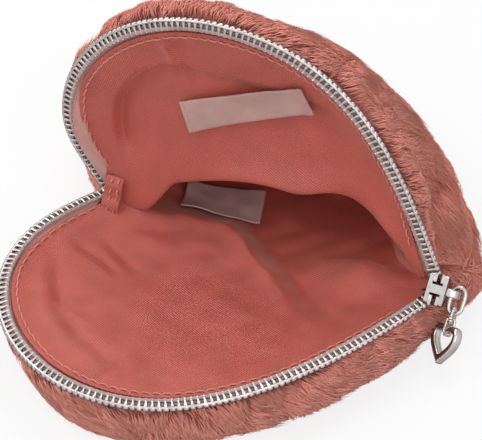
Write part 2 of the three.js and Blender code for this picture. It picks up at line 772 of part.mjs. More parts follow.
// Plate outline, forwards by down: wide mouth and narrow tail
function plateOutline(grow = 0) {
  const front = PLATE_LENGTH / 2 + grow;
  const wide = PLATE_WIDTH / 2 + grow;
  const tail = PLATE_TAIL / 2 + grow;
  const plate = new THREE.Shape();
  plate.moveTo(-front, -tail);
  plate.quadraticCurveTo(-0.1 * front, -tail, 0.35 * front, -wide);
  plate.lineTo(0.8 * front, -wide);
  plate.quadraticCurveTo(front, -wide, front, -0.72 * wide);
  plate.lineTo(front, 0.72 * wide);
  plate.quadraticCurveTo(front, wide, 0.8 * front, wide);
  plate.lineTo(0.35 * front, wide);
  plate.quadraticCurveTo(-0.1 * front, tail, -front, tail);
  plate.closePath();
  return plate;
}

function sliderBody() {
  const inner = PLATE_SPACE / 2;
  const plate = (start) => solid(extruded(plateOutline(), PLATE_THICKNESS, start, B, C, A));
  const slab = (start, depth, grow) => solid(extruded(plateOutline(grow), depth, start, B, C, A));
  const flangeDepth = (PLATE_SPACE - TAPE_SLOT) / 2;
  const flange = (start) => slab(start, flangeDepth, 0).subtract(slab(start - 1, flangeDepth + 2, -FLANGE))
    .subtract(solid(mouthCut()));
  const post = new THREE.Shape();
  const front = PLATE_LENGTH / 2;
  post.moveTo(front - POST_LENGTH, 0);
  post.lineTo(front - 0.3 * POST_LENGTH, -POST_WIDTH / 2);
  post.lineTo(front, -POST_WIDTH / 2);
  post.lineTo(front, POST_WIDTH / 2);
  post.lineTo(front - 0.3 * POST_LENGTH, POST_WIDTH / 2);
  post.closePath();
  const postStart = -inner - PLATE_THICKNESS / 2;
  const postBody = solid(extruded(post, PLATE_SPACE + PLATE_THICKNESS, postStart, B, C, A));
  return shape(plate(inner).add(plate(-inner - PLATE_THICKNESS)).add(postBody)
    .add(flange(-inner)).add(flange(inner - flangeDepth)));
}

// Room for the two rows of teeth at the slider's mouth and for the closed row at its tail
function mouthCut() {
  const cut = new THREE.Shape();
  const wide = PLATE_WIDTH;
  const front = PLATE_LENGTH / 2;
  cut.moveTo(0.85 * front, -wide);
  cut.lineTo(front + 1, -wide);
  cut.lineTo(front + 1, wide);
  cut.lineTo(0.85 * front, wide);
  cut.lineTo(0.85 * front, PLATE_TAIL / 2 - FLANGE);
  cut.lineTo(-front - 1, PLATE_TAIL / 2 - FLANGE);
  cut.lineTo(-front - 1, -PLATE_TAIL / 2 + FLANGE);
  cut.lineTo(0.85 * front, -PLATE_TAIL / 2 + FLANGE);
  cut.closePath();
  return extruded(cut, 3 * PLATE_SPACE, -1.5 * PLATE_SPACE, B, C, A);
}

const PLATE_FACE = PLATE_SPACE / 2 + PLATE_THICKNESS;
const CROWN_SEAT = PLATE_FACE + 0.05;

// Bridge on the outer plate, outwards by forwards, with the pull link's wire under it
function sliderCrown() {
  const arch = new THREE.Shape();
  const foot = CROWN_LENGTH / 2;
  const top = CROWN_SEAT + CROWN_ROOM + CROWN_STRAP;
  const under = CROWN_SEAT + CROWN_ROOM;
  arch.moveTo(CROWN_SEAT, -foot);
  arch.bezierCurveTo(top, -foot, top, -0.6 * foot, top, 0);
  arch.bezierCurveTo(top, 0.6 * foot, top, foot, CROWN_SEAT, foot);
  arch.lineTo(CROWN_SEAT, foot - 1.5 * CROWN_STRAP);
  arch.bezierCurveTo(under, foot - 1.4 * CROWN_STRAP, under, 0.4 * foot, under, 0);
  const bendFoot = -foot + 1.4 * CROWN_STRAP;
  arch.bezierCurveTo(under, -0.4 * foot, under, bendFoot, CROWN_SEAT, -foot + 1.5 * CROWN_STRAP);
  arch.closePath();
  return extruded(arch, CROWN_WIDTH, -CROWN_WIDTH / 2, A, B, C);
}

// Stop across both tapes behind the slider's tail
function tipStop() {
  const stop = new THREE.Shape();
  const back = -PLATE_LENGTH / 2 - LAYER_GAP;
  stop.moveTo(back, -STOP_WIDTH / 2);
  stop.lineTo(back, STOP_WIDTH / 2);
  stop.lineTo(back - STOP_LENGTH, STOP_WIDTH / 2);
  stop.lineTo(back - STOP_LENGTH, -STOP_WIDTH / 2);
  stop.closePath();
  return extruded(stop, PLATE_SPACE, -PLATE_SPACE / 2, B, C, A);
}

// Closed wire along a ring of places, in the plane across its side direction
function wireRing(place, side, radius) {
  const loops = [];
  for (let i = 0; i < radius.length; i++) {
    const turn = 2 * Math.PI * i / radius.length;
    const centre = place(turn);
    const ahead = place(turn + 0.01).sub(place(turn - 0.01)).normalize();
    const out = new THREE.Vector3().crossVectors(ahead, side);
    const loop = [];
    for (let j = 0; j < WIRE_SIDES; j++) {
      const angle = 2 * Math.PI * j / WIRE_SIDES;
      loop.push(centre.clone()
        .addScaledVector(out, radius[i] * Math.cos(angle))
        .addScaledVector(side, radius[i] * Math.sin(angle)));
    }
    loops.push(loop);
  }
  return loft(loops, true);
}

// Chain, outwards by down: link round the crown's strap, ring through the link, pendant below
const LINK_OUT = CROWN_SEAT + CROWN_ROOM + CROWN_STRAP / 2;
const LINK_TOP = -CROWN_WIDTH / 2 - LINK_DROP - LINK_WIRE / 2;
const LINK_FOOT = LINK_TOP + LINK_LENGTH - LINK_WIRE;
const RING_RADIUS = (RING_WIDTH - RING_WIRE) / 2;
const RING_DOWN = LINK_FOOT - (LINK_WIRE + RING_WIRE) / 2 - RIDGE - CHAIN_PLAY + RING_RADIUS;
const RING_FOOT = RING_DOWN + RING_RADIUS;
const EYELET_TOP = RING_FOOT - (RING_WIRE + EYELET_WIRE) / 2 - RIDGE - CHAIN_PLAY;
const PENDANT_LOBE = 0.2 * PENDANT_HEIGHT; // lobes above the notch
const PENDANT_TOP = RING_FOOT + RING_WIRE / 2 + RIDGE + CHAIN_PLAY + PENDANT_LOBE;

// Long wire loop in the link's plane, between two places along the chain
function ovalWire(width, wire, top, foot) {
  const wide = (width - wire) / 2;
  const long = (foot - top) / 2 - wide;
  const place = (turn) => new THREE.Vector3(
    LINK_OUT + wide * Math.cos(turn),
    0,
    (top + foot) / 2 + wide * Math.sin(turn) + long * Math.tanh(4 * Math.sin(turn)),
  );
  return wireRing(place, B, new Array(WIRE_STEPS).fill(wire / 2));
}

const pullLink = () => ovalWire(LINK_WIDTH, LINK_WIRE, LINK_TOP, LINK_FOOT);

function ridgedRing() {
  const place = (turn) => new THREE.Vector3(
    LINK_OUT,
    RING_RADIUS * Math.cos(turn),
    RING_DOWN + RING_RADIUS * Math.sin(turn),
  );
  const radius = [];
  for (let i = 0; i < 2 * RING_RIDGES; i++) radius.push(RING_WIRE / 2 + (i % 2 ? RIDGE : -RIDGE));
  return wireRing(place, A, radius);
}

// Small heart standing on its tip: across by down, its top notch at zero
function pendantOutline(grow) {
  const wide = PENDANT_WIDTH / 2 + grow;
  const lobe = -PENDANT_LOBE - grow;
  const tip = PENDANT_HEIGHT - PENDANT_LOBE + 1.5 * grow;
  const notch = -0.6 * grow;
  const heart = new THREE.Shape();
  heart.moveTo(0, notch);
  heart.bezierCurveTo(0.12 * wide, 0.75 * lobe, 0.35 * wide, lobe, 0.55 * wide, lobe);
  heart.bezierCurveTo(0.85 * wide, lobe, wide, 0.4 * lobe, wide, 0.12 * tip);
  heart.bezierCurveTo(wide, 0.45 * tip, 0.4 * wide, 0.75 * tip, 0, tip);
  heart.bezierCurveTo(-0.4 * wide, 0.75 * tip, -wide, 0.45 * tip, -wide, 0.12 * tip);
  heart.bezierCurveTo(-wide, 0.4 * lobe, -0.85 * wide, lobe, -0.55 * wide, lobe);
  heart.bezierCurveTo(-0.35 * wide, lobe, -0.12 * wide, 0.75 * lobe, 0, notch);
  return heart;
}

function heartPendant() {
  const turn = radians(PENDANT_TURN);
  const across = new THREE.Vector3(Math.cos(turn), Math.sin(turn), 0);
  const through = new THREE.Vector3().crossVectors(across, C);
  const body = (grow, depth) => solid(extruded(pendantOutline(grow), depth, -depth / 2, across, C, through));
  const frame = body(0, PENDANT_DEPTH).subtract(body(-PENDANT_WALL, 2 * PENDANT_DEPTH))
    .translate([LINK_OUT, 0, PENDANT_TOP]);
  const eyelet = solid(ovalWire(EYELET_WIDTH, EYELET_WIRE, EYELET_TOP, PENDANT_TOP + EYELET_WIRE / 2));
  return shape(frame.add(eyelet));
}

// Room that the slider, its travel and its stop need in the cloth at the tip
function sliderPocket() {
  const back = -PLATE_LENGTH / 2 - STOP_LENGTH - LAYER_GAP - POCKET_CLEAR;
  const front = PLATE_LENGTH / 2 + SLIDER_TRAVEL + POCKET_CLEAR;
  const wide = PLATE_WIDTH / 2 + POCKET_CLEAR;
  const room = new THREE.Shape();
  room.moveTo(back, -wide);
  room.lineTo(front, -wide);
  room.lineTo(front, wide);
  room.lineTo(back, wide);
  room.closePath();
  const inside = PLATE_FACE + POCKET_CLEAR;
  return solid(extruded(room, 40, -inside, B, C, A).applyMatrix4(sliderFrame));
}

const pocket = sliderPocket();
const besideSlider = (geometry) => shape(solid(geometry).subtract(pocket));
const atSlider = (geometry) => geometry.applyMatrix4(sliderFrame);

add('front_fur_panel', besideSlider(frontFur()), plush);
add('front_lining', besideSlider(frontLining()), twill);
add('back_fur_pouch_half', besideSlider(roofFur()), plush);
add('back_lining_pouch_half', besideSlider(roofLining()), twill);
add('back_fur_flap_half', flapFur(), plush);
add('back_lining_flap_half', flapLining(), twill);
add('zip_tape_front', tape(frontPlace), webbing);
add('zip_tape_back', tape(flapPlace), webbing);
add('zip_coil_front', coil(frontPlace), silver);
add('zip_coil_back', coil(flapPlace), silver);
add('topstitch_front', topstitch(frontPlace), thread);
add('topstitch_back', topstitch(flapPlace), thread);
add('notch_end_tab', endTab(), twill);
add('woven_label', wovenLabel(), satin);
add('care_label', careLabel(), satin);
add('tip_stop', atSlider(tipStop()), silver);
add('slider_body', atSlider(sliderBody()), nickel);
add('slider_crown', atSlider(sliderCrown()), nickel);
add('pull_link', atSlider(pullLink()), nickel);
add('ridged_ring', atSlider(ridgedRing()), nickel);
add('heart_pendant', atSlider(heartPendant()), nickel);

export default bag;
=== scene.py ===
"""Heart-shaped plush cosmetic bag lying open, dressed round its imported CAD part.

Shapes are worked out in millimetres in the part's own frame and put into meshes in metres.
X runs from the heart's notch to its tip, the mouth opens towards -Y and +Z is up.
"""

import math

import bmesh
import bpy
import numpy as np
from bpy.props import FloatProperty, FloatVectorProperty, IntProperty, PointerProperty
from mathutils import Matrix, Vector


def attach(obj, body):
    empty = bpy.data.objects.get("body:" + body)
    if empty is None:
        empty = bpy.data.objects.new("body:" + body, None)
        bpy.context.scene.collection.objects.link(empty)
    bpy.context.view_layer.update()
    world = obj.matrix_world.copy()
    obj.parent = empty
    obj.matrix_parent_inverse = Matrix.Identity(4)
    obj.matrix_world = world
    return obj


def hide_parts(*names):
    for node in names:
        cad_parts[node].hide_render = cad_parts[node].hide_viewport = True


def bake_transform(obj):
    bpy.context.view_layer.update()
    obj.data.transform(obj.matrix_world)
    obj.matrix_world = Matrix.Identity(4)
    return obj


bl_info = {
    "name": "Open Plush Bag",
    "version": (1, 0, 0),
    "blender": (4, 5, 0),
    "location": "View3D > Sidebar > Plush Bag",
    "description": "Builds the cloth, pile, zip and chain of an open heart-shaped bag",
    "category": "Object",
}

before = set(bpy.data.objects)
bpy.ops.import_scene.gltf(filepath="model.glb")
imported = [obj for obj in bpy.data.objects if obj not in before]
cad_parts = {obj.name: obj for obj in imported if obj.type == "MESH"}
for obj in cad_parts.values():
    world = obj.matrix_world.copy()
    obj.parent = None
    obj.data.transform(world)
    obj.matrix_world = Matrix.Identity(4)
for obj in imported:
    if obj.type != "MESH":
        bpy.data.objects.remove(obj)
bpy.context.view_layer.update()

MM = 0.001
NOTCH_X, TIP_X = -50.0, 50.0
HALF_WIDTH = 67.0
ZIP_HEIGHT = 15.5
MIDDLE = np.array([-6.0, 0.0])
LIP_RISE, LIP_END = 22.0, 7.0
PLUSH_START = 2.4
PLUSH_DEPTH = 11.0
FLAP_UP = np.array([0.0, math.sin(math.radians(10)), math.cos(math.radians(10))])
FLAP_OUT = np.array([0.0, math.cos(math.radians(10)), -math.sin(math.radians(10))])
OUTWARDS = np.array([1.0, 0.0, 0.0])
FORWARDS = np.array([0.0, -math.cos(math.radians(50)), math.sin(math.radians(50))])
DOWN = np.cross(OUTWARDS, FORWARDS)
ABOVE = np.array([0.0, 0.0, 1.0])
SLIDER_AT = np.array([TIP_X, 0.0, ZIP_HEIGHT])

# Pile: size of a tuft, places in the table of tufts and most hairs in one piece
TUFT_WIDE, TUFT_LONG, TUFT_PLACES, MOST_HAIRS = 4.2, 7.5, 65521, 19000

# Labels, and the chain's wires from the slider's strap down to the pendant
RIBBON_LONG, RIBBON_WIDE, CARE_LONG, CARE_WIDE = 38.0, 9.3, 23.0, 12.0
CHAIN_OUT, CHAIN_PLAY, STRAP_HALF, LINK_DROP = 5.7, 0.1, 1.1, 0.5
LINK_WIDE, LINK_LONG, LINK_WIRE = 5.0, 8.6, 1.2
RING_RADIUS, RING_WIRE, RING_RIDGES, RIDGE = 1.95, 1.1, 18, 0.12
EYELET_WIDE, EYELET_WIRE = 3.1, 0.8
PENDANT_LOBE, PENDANT_WALL, PENDANT_TURN = 2.2, 1.7, math.radians(45)

# Picture: its width in pixels, the camera's reach in pixels and the place in it that the camera looks at
PICTURE_WIDE, REACH, LOOK_X, LOOK_Y, MIDDLE_X, MIDDLE_Y = 482, 2000, 273, 239.75, 241, 220


def smooth(value):
    """Zero below 0, one above 1, and 3v^2 - 2v^3 between."""
    value = np.clip(value, 0.0, 1.0)
    return value * value * (3 - 2 * value)


def mix(a, b, share):
    """a at share 0 and b at share 1, in a straight line."""
    return a + (b - a) * share


def unit(vectors):
    """Vectors scaled to length one."""
    return vectors / np.maximum(np.linalg.norm(vectors, axis=-1, keepdims=True), 1e-9)


def ripple(x, y, size, seed, count=7):
    """Sum of sine waves in random directions, about -1 to 1, with bumps some size across."""
    rng = np.random.default_rng(seed)
    total = np.zeros(np.broadcast(x, y).shape)
    waves = (rng.uniform(0, np.pi, count), rng.uniform(0, 6.28, count), rng.uniform(0.7, 1.5, count))
    for turn, phase, stretch in zip(*waves):
        total += np.sin((x * np.cos(turn) + y * np.sin(turn)) * 2 * np.pi / (size * stretch) + phase)
    return total / math.sqrt(count) / 1.2


# Heart outline


def outline_table(reach, side, top, width, tip_angle, top_handle, tip_handle):
    """Half of a heart as three Bezier curves from notch to tip, with each point's share of the length."""
    lobe = np.array([NOTCH_X - reach, side])
    widest = np.array([NOTCH_X + top, width])
    notch = np.array([NOTCH_X, 0.0])
    tip = np.array([TIP_X, 0.0])
    leave, arrive = math.radians(52), math.radians(tip_angle)
    curves = [
        [notch, notch + 0.45 * side * np.array([-math.cos(leave), math.sin(leave)]), [lobe[0], 0.62 * side], lobe],
        [lobe, [lobe[0], mix(side, width, 0.552)], [mix(widest[0], lobe[0], 0.552), width], widest],
        [widest, [mix(widest[0], TIP_X, top_handle), width],
         tip + tip_handle * width * np.array([-math.cos(arrive), math.sin(arrive)]), tip],
    ]
    t = np.linspace(0, 1, 400)[:, None]
    points = [bezier(np.array(curve, float), t) for curve in curves]
    points = np.concatenate([points[0], points[1][1:], points[2][1:]])
    run = np.concatenate([[0], np.cumsum(np.linalg.norm(np.diff(points, axis=0), axis=1))])
    return run / run[-1], points, run[-1]


def bezier(curve, t):
    """Cubic curve through its four control points at t."""
    a, b, c, d = curve
    return a * (1 - t) ** 3 + 3 * b * t * (1 - t) ** 2 + 3 * c * t * t * (1 - t) + d * t ** 3


SHARES, OUTLINE, EDGE_LENGTH = outline_table(14, 31, 27, HALF_WIDTH, 62, 0.45, 0.55)
FLAP_SHARES, FLAP_OUTLINE = outline_table(12.8, 23.5, 33, HALF_WIDTH - 3, 66, 0.52, 0.68)[:2]


def edge(share, shares=SHARES, outline=OUTLINE):
    """Outline point (x, distance from the axis) at a share of the way from notch to tip."""
    return np.stack([np.interp(share, shares, outline[:, 0]), np.interp(share, shares, outline[:, 1])], -1)


def flap_edge(share):
    """The same on the flap, whose edge is drawn in at its lobe and fuller towards the tip."""
    return edge(share, FLAP_SHARES, FLAP_OUTLINE)


def front_spokes(share):
    """Lines across the front panel from its axis out to the zip line: starts, directions and lengths."""
    axis = np.stack([mix(NOTCH_X + 2.5, TIP_X - 3.5, share), np.zeros_like(share)], -1)
    way = edge(share) - axis
    length = np.linalg.norm(way, axis=1)
    return axis, way / length[:, None], length


def share_at(height, from_tip):
    """Share of the way at which the outline is this far from the axis, near the notch or near the tip."""
    middle = int(np.argmax(OUTLINE[:, 1]))
    if from_tip:
        return float(np.interp(-height, -OUTLINE[middle:, 1], SHARES[middle:]))
    return float(np.interp(height, OUTLINE[:middle, 1], SHARES[:middle]))


FLAP_START = share_at(LIP_END + 2, False)
FLAP_END = share_at(LIP_END + 5, True)


def overhang(share, sewn=False):
    """Plush beyond the edge: 5 mm at the zip and 12.5 mm at the sewn seam, and less round the notch and at the tip."""
    grown = smooth(share / 0.3) if sewn else smooth((share - 0.14) / 0.28)
    return mix(0.8, mix(3.2, 12.5 if sewn else 5.0, smooth((1 - share) / (0.07 if sewn else 0.14))), grown)


def fullness(share):
    """How full the sewn seam's plush is: slimmer over the lobe, and fullest on the flank near the tip."""
    return np.interp(share, [0, 0.3, 0.42, 0.6, 0.72, 0.82, 1], [1.0, 0.95, 0.72, 0.7, 1.0, 1.3, 1.3])


def ray_part(x, y):
    """Share of the way from the heart's middle to its outline at places on the front panel."""
    spoke = OUTLINE - MIDDLE
    angle, radius = np.arctan2(spoke[::-1, 1], spoke[::-1, 0]), np.linalg.norm(spoke[::-1], axis=1)
    return np.hypot(x - MIDDLE[0], y) / np.interp(np.arctan2(np.abs(y), x - MIDDLE[0]), angle, radius)


def lining_inset(share):
    """Lining's edge inside the zip line: close to the teeth, and further in near the notch, where the tape shows."""
    return mix(7.6, 2.7, smooth((share - 0.05) / 0.17))


# Flap and sewn half of the back panel


def on_flap(x, rise, depth):
    """Flap point: x along the axis, rise up the flap from the axis, and depth behind its zip line."""
    x, rise, depth = np.broadcast_arrays(x, rise, depth)
    base = np.stack([x, np.zeros_like(rise), np.full_like(rise, ZIP_HEIGHT)], -1)
    return base + rise[..., None] * FLAP_UP + depth[..., None] * FLAP_OUT


def flap_sections(share):
    """Straight sections of the flap from its fold to the zip line. The fold rises 7 to 22 mm above the axis."""
    rim = flap_edge(share)
    along = (share - FLAP_START) / (FLAP_END - FLAP_START)
    inside = np.clip(along, 0, 1)
    swell = np.abs(np.sin(np.pi * inside ** 1.25)) ** 0.8
    before, after = along < 0, along > 1
    start, end = (rim[:, 1] / flap_edge(place)[1] for place in (FLAP_START, FLAP_END))
    near = np.minimum(1, np.where(before, start, np.where(after, end, 1.0)))
    x = mix(NOTCH_X + 4, TIP_X - LIP_END - 4, inside)
    x = x + np.where(before, -2 * (1 - near), np.where(after, 7 * (1 - near), 0.0))
    lip = np.stack([x, mix(LIP_END, LIP_RISE, swell) * near], -1)
    way = rim - lip
    length = np.linalg.norm(way, axis=1)
    plush = np.minimum(PLUSH_DEPTH, 0.8 + 0.3 * rim[:, 1])
    return {
        "share": share, "along": along, "rim": rim, "seam": edge(share), "lip": lip, "way": way / length[:, None],
        "length": length, "swell": swell, "plush": plush,
    }


def dish(swell, part):
    """Depth of the flap's hollow face at a share of the way from its fold to the zip line."""
    return 6 * swell * np.sin(np.pi * np.clip(part, 0, 1) ** 0.8)


def on_section(sections, out, depth):
    """Flap points by distance past the zip line and depth behind the lining's dished face."""
    out = np.broadcast_to(out, np.broadcast(out, depth, sections["length"][:, None]).shape)
    hollow = dish(sections["swell"][:, None], 1 + out / sections["length"][:, None])
    place = sections["rim"][:, None] + sections["way"][:, None] * out[..., None]
    return on_flap(place[..., 0], place[..., 1], hollow + depth)


def on_roof(sections, part, depth):
    """Sewn half: a cubic arch from under the fold to the seam, moved out along its normal by depth."""
    lip, rim, swell = sections["lip"], sections["seam"], sections["swell"]
    start = on_flap(lip[:, 0], lip[:, 1] - 1.4, 0.0)
    seam = ZIP_HEIGHT + 0.3
    level = rim - start[:, :2]
    length = np.linalg.norm(level, axis=1)
    level = level / length[:, None]
    droop = 0.9 * (1 - swell) * (start[:, 2] - seam)
    curve = np.array([
        [0 * length, start[:, 2]],
        [0.3 * length, start[:, 2] + 2 * swell - droop],
        [0.92 * length, seam + 17 * swell ** 2],
        [length, seam + 0 * length],
    ])
    part, depth = np.broadcast_arrays(part, depth, subok=True)
    part = np.broadcast_to(part, (len(length), part.shape[-1]))
    a, b, c, d = (curve[i][..., None] for i in range(4))
    place = a * (1 - part) ** 3 + 3 * b * part * (1 - part) ** 2 + 3 * c * part ** 2 * (1 - part) + d * part ** 3
    run = (b - a) * (1 - part) ** 2 + 2 * (c - b) * part * (1 - part) + (d - c) * part ** 2
    run = run / np.linalg.norm(run, axis=0)
    away = place[0] - run[1] * depth
    height = place[1] + run[0] * depth
    place = start[:, None, :2] + level[:, None] * away[..., None]
    return np.concatenate([place, height[..., None]], -1)


def on_roof_rim(sections, out, level):
    """Rim of the sewn half: past the seam by a share of the overhang, at a share of the plush's thickness."""
    thick = sections["plush"] * mix(0.4, 1.0, sections["swell"])
    ahead = unit(edge(sections["share"] + 0.002) - edge(sections["share"] - 0.002))
    way = np.stack([-ahead[:, 1], ahead[:, 0]], -1)
    hang = overhang(sections["share"], True) * fullness(sections["share"])
    reach = (np.asarray(out)[None, :] * hang[:, None])[..., None]
    place = sections["seam"][:, None] + way[:, None] * reach
    height = ZIP_HEIGHT + 0.3 + thick[:, None] * np.asarray(level)[None, :]
    return np.concatenate([place, height[..., None]], -1)


def relax(points, rounds):
    """Rounds off the rows of a grid: each inner row moves halfway to the middle of its neighbours."""
    points = points.copy()
    for _ in range(rounds):
        points[:, 1:-1] = 0.5 * points[:, 1:-1] + 0.25 * (points[:, :-2] + points[:, 2:])
    return points


# Meshes


def put_mesh(name, points, faces, uv=None, values=None):
    """Object from points in millimetres and arrays of triangles or quads, turned so that its faces point out."""
    parts = faces if isinstance(faces, list) else [faces]
    volume = 0.0
    for part in parts:
        a = points[part[:, 0]]
        for i in range(1, part.shape[1] - 1):
            volume += float(np.einsum("ij,ij->", a, np.cross(points[part[:, i]], points[part[:, i + 1]])))
    if volume < 0:
        parts = [part[:, ::-1] for part in parts]
    corners = np.concatenate([part.ravel() for part in parts]).astype(np.int32)
    sizes = np.concatenate([np.full(len(part), part.shape[1]) for part in parts])
    mesh = bpy.data.meshes.new(name)
    mesh.vertices.add(len(points))
    mesh.vertices.foreach_set("co", (points * MM).astype(np.float32).ravel())
    mesh.loops.add(len(corners))
    mesh.loops.foreach_set("vertex_index", corners)
    mesh.polygons.add(len(sizes))
    mesh.polygons.foreach_set("loop_start", np.concatenate([[0], np.cumsum(sizes)[:-1]]).astype(np.int32))
    mesh.update(calc_edges=True)
    mesh.polygons.foreach_set("use_smooth", np.full(len(sizes), True))
    if uv is not None:
        layer = mesh.uv_layers.new(name="cloth")
        layer.data.foreach_set("uv", uv[corners].astype(np.float32).ravel())
    for key, value in (values or {}).items():
        mesh.attributes.new(key, "FLOAT", "POINT").data.foreach_set("value", value.astype(np.float32))
    mesh.validate()
    piece = bpy.data.objects.new(name, mesh)
    bpy.context.scene.collection.objects.link(piece)
    return piece


def normals_of(points):
    """Unit normals of a grid: the cross product of its two directions."""
    return unit(np.cross(np.gradient(points, axis=0), np.gradient(points, axis=1)))


def grid_faces(count_u, count_v, around_u=False, around_v=False):
    """Quads of a grid of count_u by count_v points, joined last to first where it runs round."""
    u = np.arange(count_u if around_u else count_u - 1)
    v = np.arange(count_v if around_v else count_v - 1)
    u, v = np.meshgrid(u, v, indexing="ij")
    u2, v2 = (u + 1) % count_u, (v + 1) % count_v
    quads = np.stack([u * count_v + v, u2 * count_v + v, u2 * count_v + v2, u * count_v + v2], -1)
    return quads.reshape(-1, 4)


def cloth_sheet(name, points, thickness, uv=None):
    """Thin closed sheet: a grid, its copy moved back along the normals, and a strip round the edge."""
    count_u, count_v = points.shape[:2]
    back = points - thickness * normals_of(points)
    total = count_u * count_v
    front = grid_faces(count_u, count_v)
    ids = np.arange(total).reshape(count_u, count_v)
    loop = np.concatenate([ids[:, 0], ids[-1, 1:], ids[-2::-1, -1], ids[0, -2:0:-1]])
    ahead = np.roll(loop, -1)
    strip = np.stack([loop, loop + total, ahead + total, ahead], -1)
    faces = np.concatenate([front, front[:, ::-1] + total, strip])
    stacked = np.concatenate([points.reshape(-1, 3), back.reshape(-1, 3)])
    if uv is not None:
        uv = np.tile(uv.reshape(-1, 2), (2, 1))
    return put_mesh(name, stacked, faces, uv)


def tubes(name, centres, sides, widths, heights, count=6):
    """Closed tubes: an ellipse carried along each path of centres, an array of tubes by steps. Its width lies along
    sides."""
    ahead = unit(np.gradient(centres, axis=1))
    sides = unit(sides - ahead * np.sum(sides * ahead, -1, keepdims=True))
    lift = np.cross(ahead, sides)
    turn = np.linspace(0, 2 * np.pi, count, endpoint=False)
    ring = (np.cos(turn)[:, None] * (sides * widths[..., None])[:, :, None]
            + np.sin(turn)[:, None] * (lift * heights[..., None])[:, :, None])
    points = centres[:, :, None] + ring
    many, steps = centres.shape[:2]
    quads = grid_faces(steps, count, False, True)
    starts = np.arange(many)[:, None, None] * steps * count
    first = np.arange(count)[None, ::-1] + 0 * starts[:, 0]
    caps = [first + starts[:, 0], np.arange(count)[None] + (steps - 1) * count + starts[:, 0]]
    return put_mesh(name, points.reshape(-1, 3), [(quads[None] + starts).reshape(-1, 4), *caps])


def wire_loop(name, place, side, radius, steps, count=12):
    """Closed wire: a circle carried round a closed path, in the plane across side."""
    turn = np.linspace(0, 2 * np.pi, steps, endpoint=False)
    centre = place(turn)
    out = np.cross(unit(place(turn + 0.01) - place(turn - 0.01)), side)
    around = np.linspace(0, 2 * np.pi, count, endpoint=False)[None, :, None]
    radius = np.broadcast_to(radius, steps)[:, None, None]
    points = centre[:, None] + radius * (np.cos(around) * out[:, None] + np.sin(around) * side)
    return put_mesh(name, points.reshape(-1, 3), grid_faces(steps, count, True, True))


def bend_with_flap(piece, weights):
    """Bakes a piece's transform into its mesh. Its weights, 0 pouch and 1 flap at each vertex, are not used."""
    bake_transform(piece)
    weights = np.asarray(weights, np.float32).ravel()


def finish_piece(piece, material, body=None, stands_for=()):
    """Gives a piece its material and its body, and hides the CAD nodes that it stands for."""
    piece.data.materials.clear()
    piece.data.materials.append(material)
    if body:
        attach(piece, body)
    if stands_for:
        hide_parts(*stands_for)
    return piece


# Pile


def sample(grid, row, column):
    """Values of a grid at fractional rows and columns, mixed from the four points round each place."""
    i = np.clip(row.astype(int), 0, grid.shape[0] - 2)
    j = np.clip(column.astype(int), 0, grid.shape[1] - 2)
    a, b = ((x - y).reshape(x.shape + (1,) * (grid.ndim - 2)) for x, y in ((row, i), (column, j)))
    return mix(mix(grid[i, j], grid[i + 1, j], a), mix(grid[i, j + 1], grid[i + 1, j + 1], a), b)


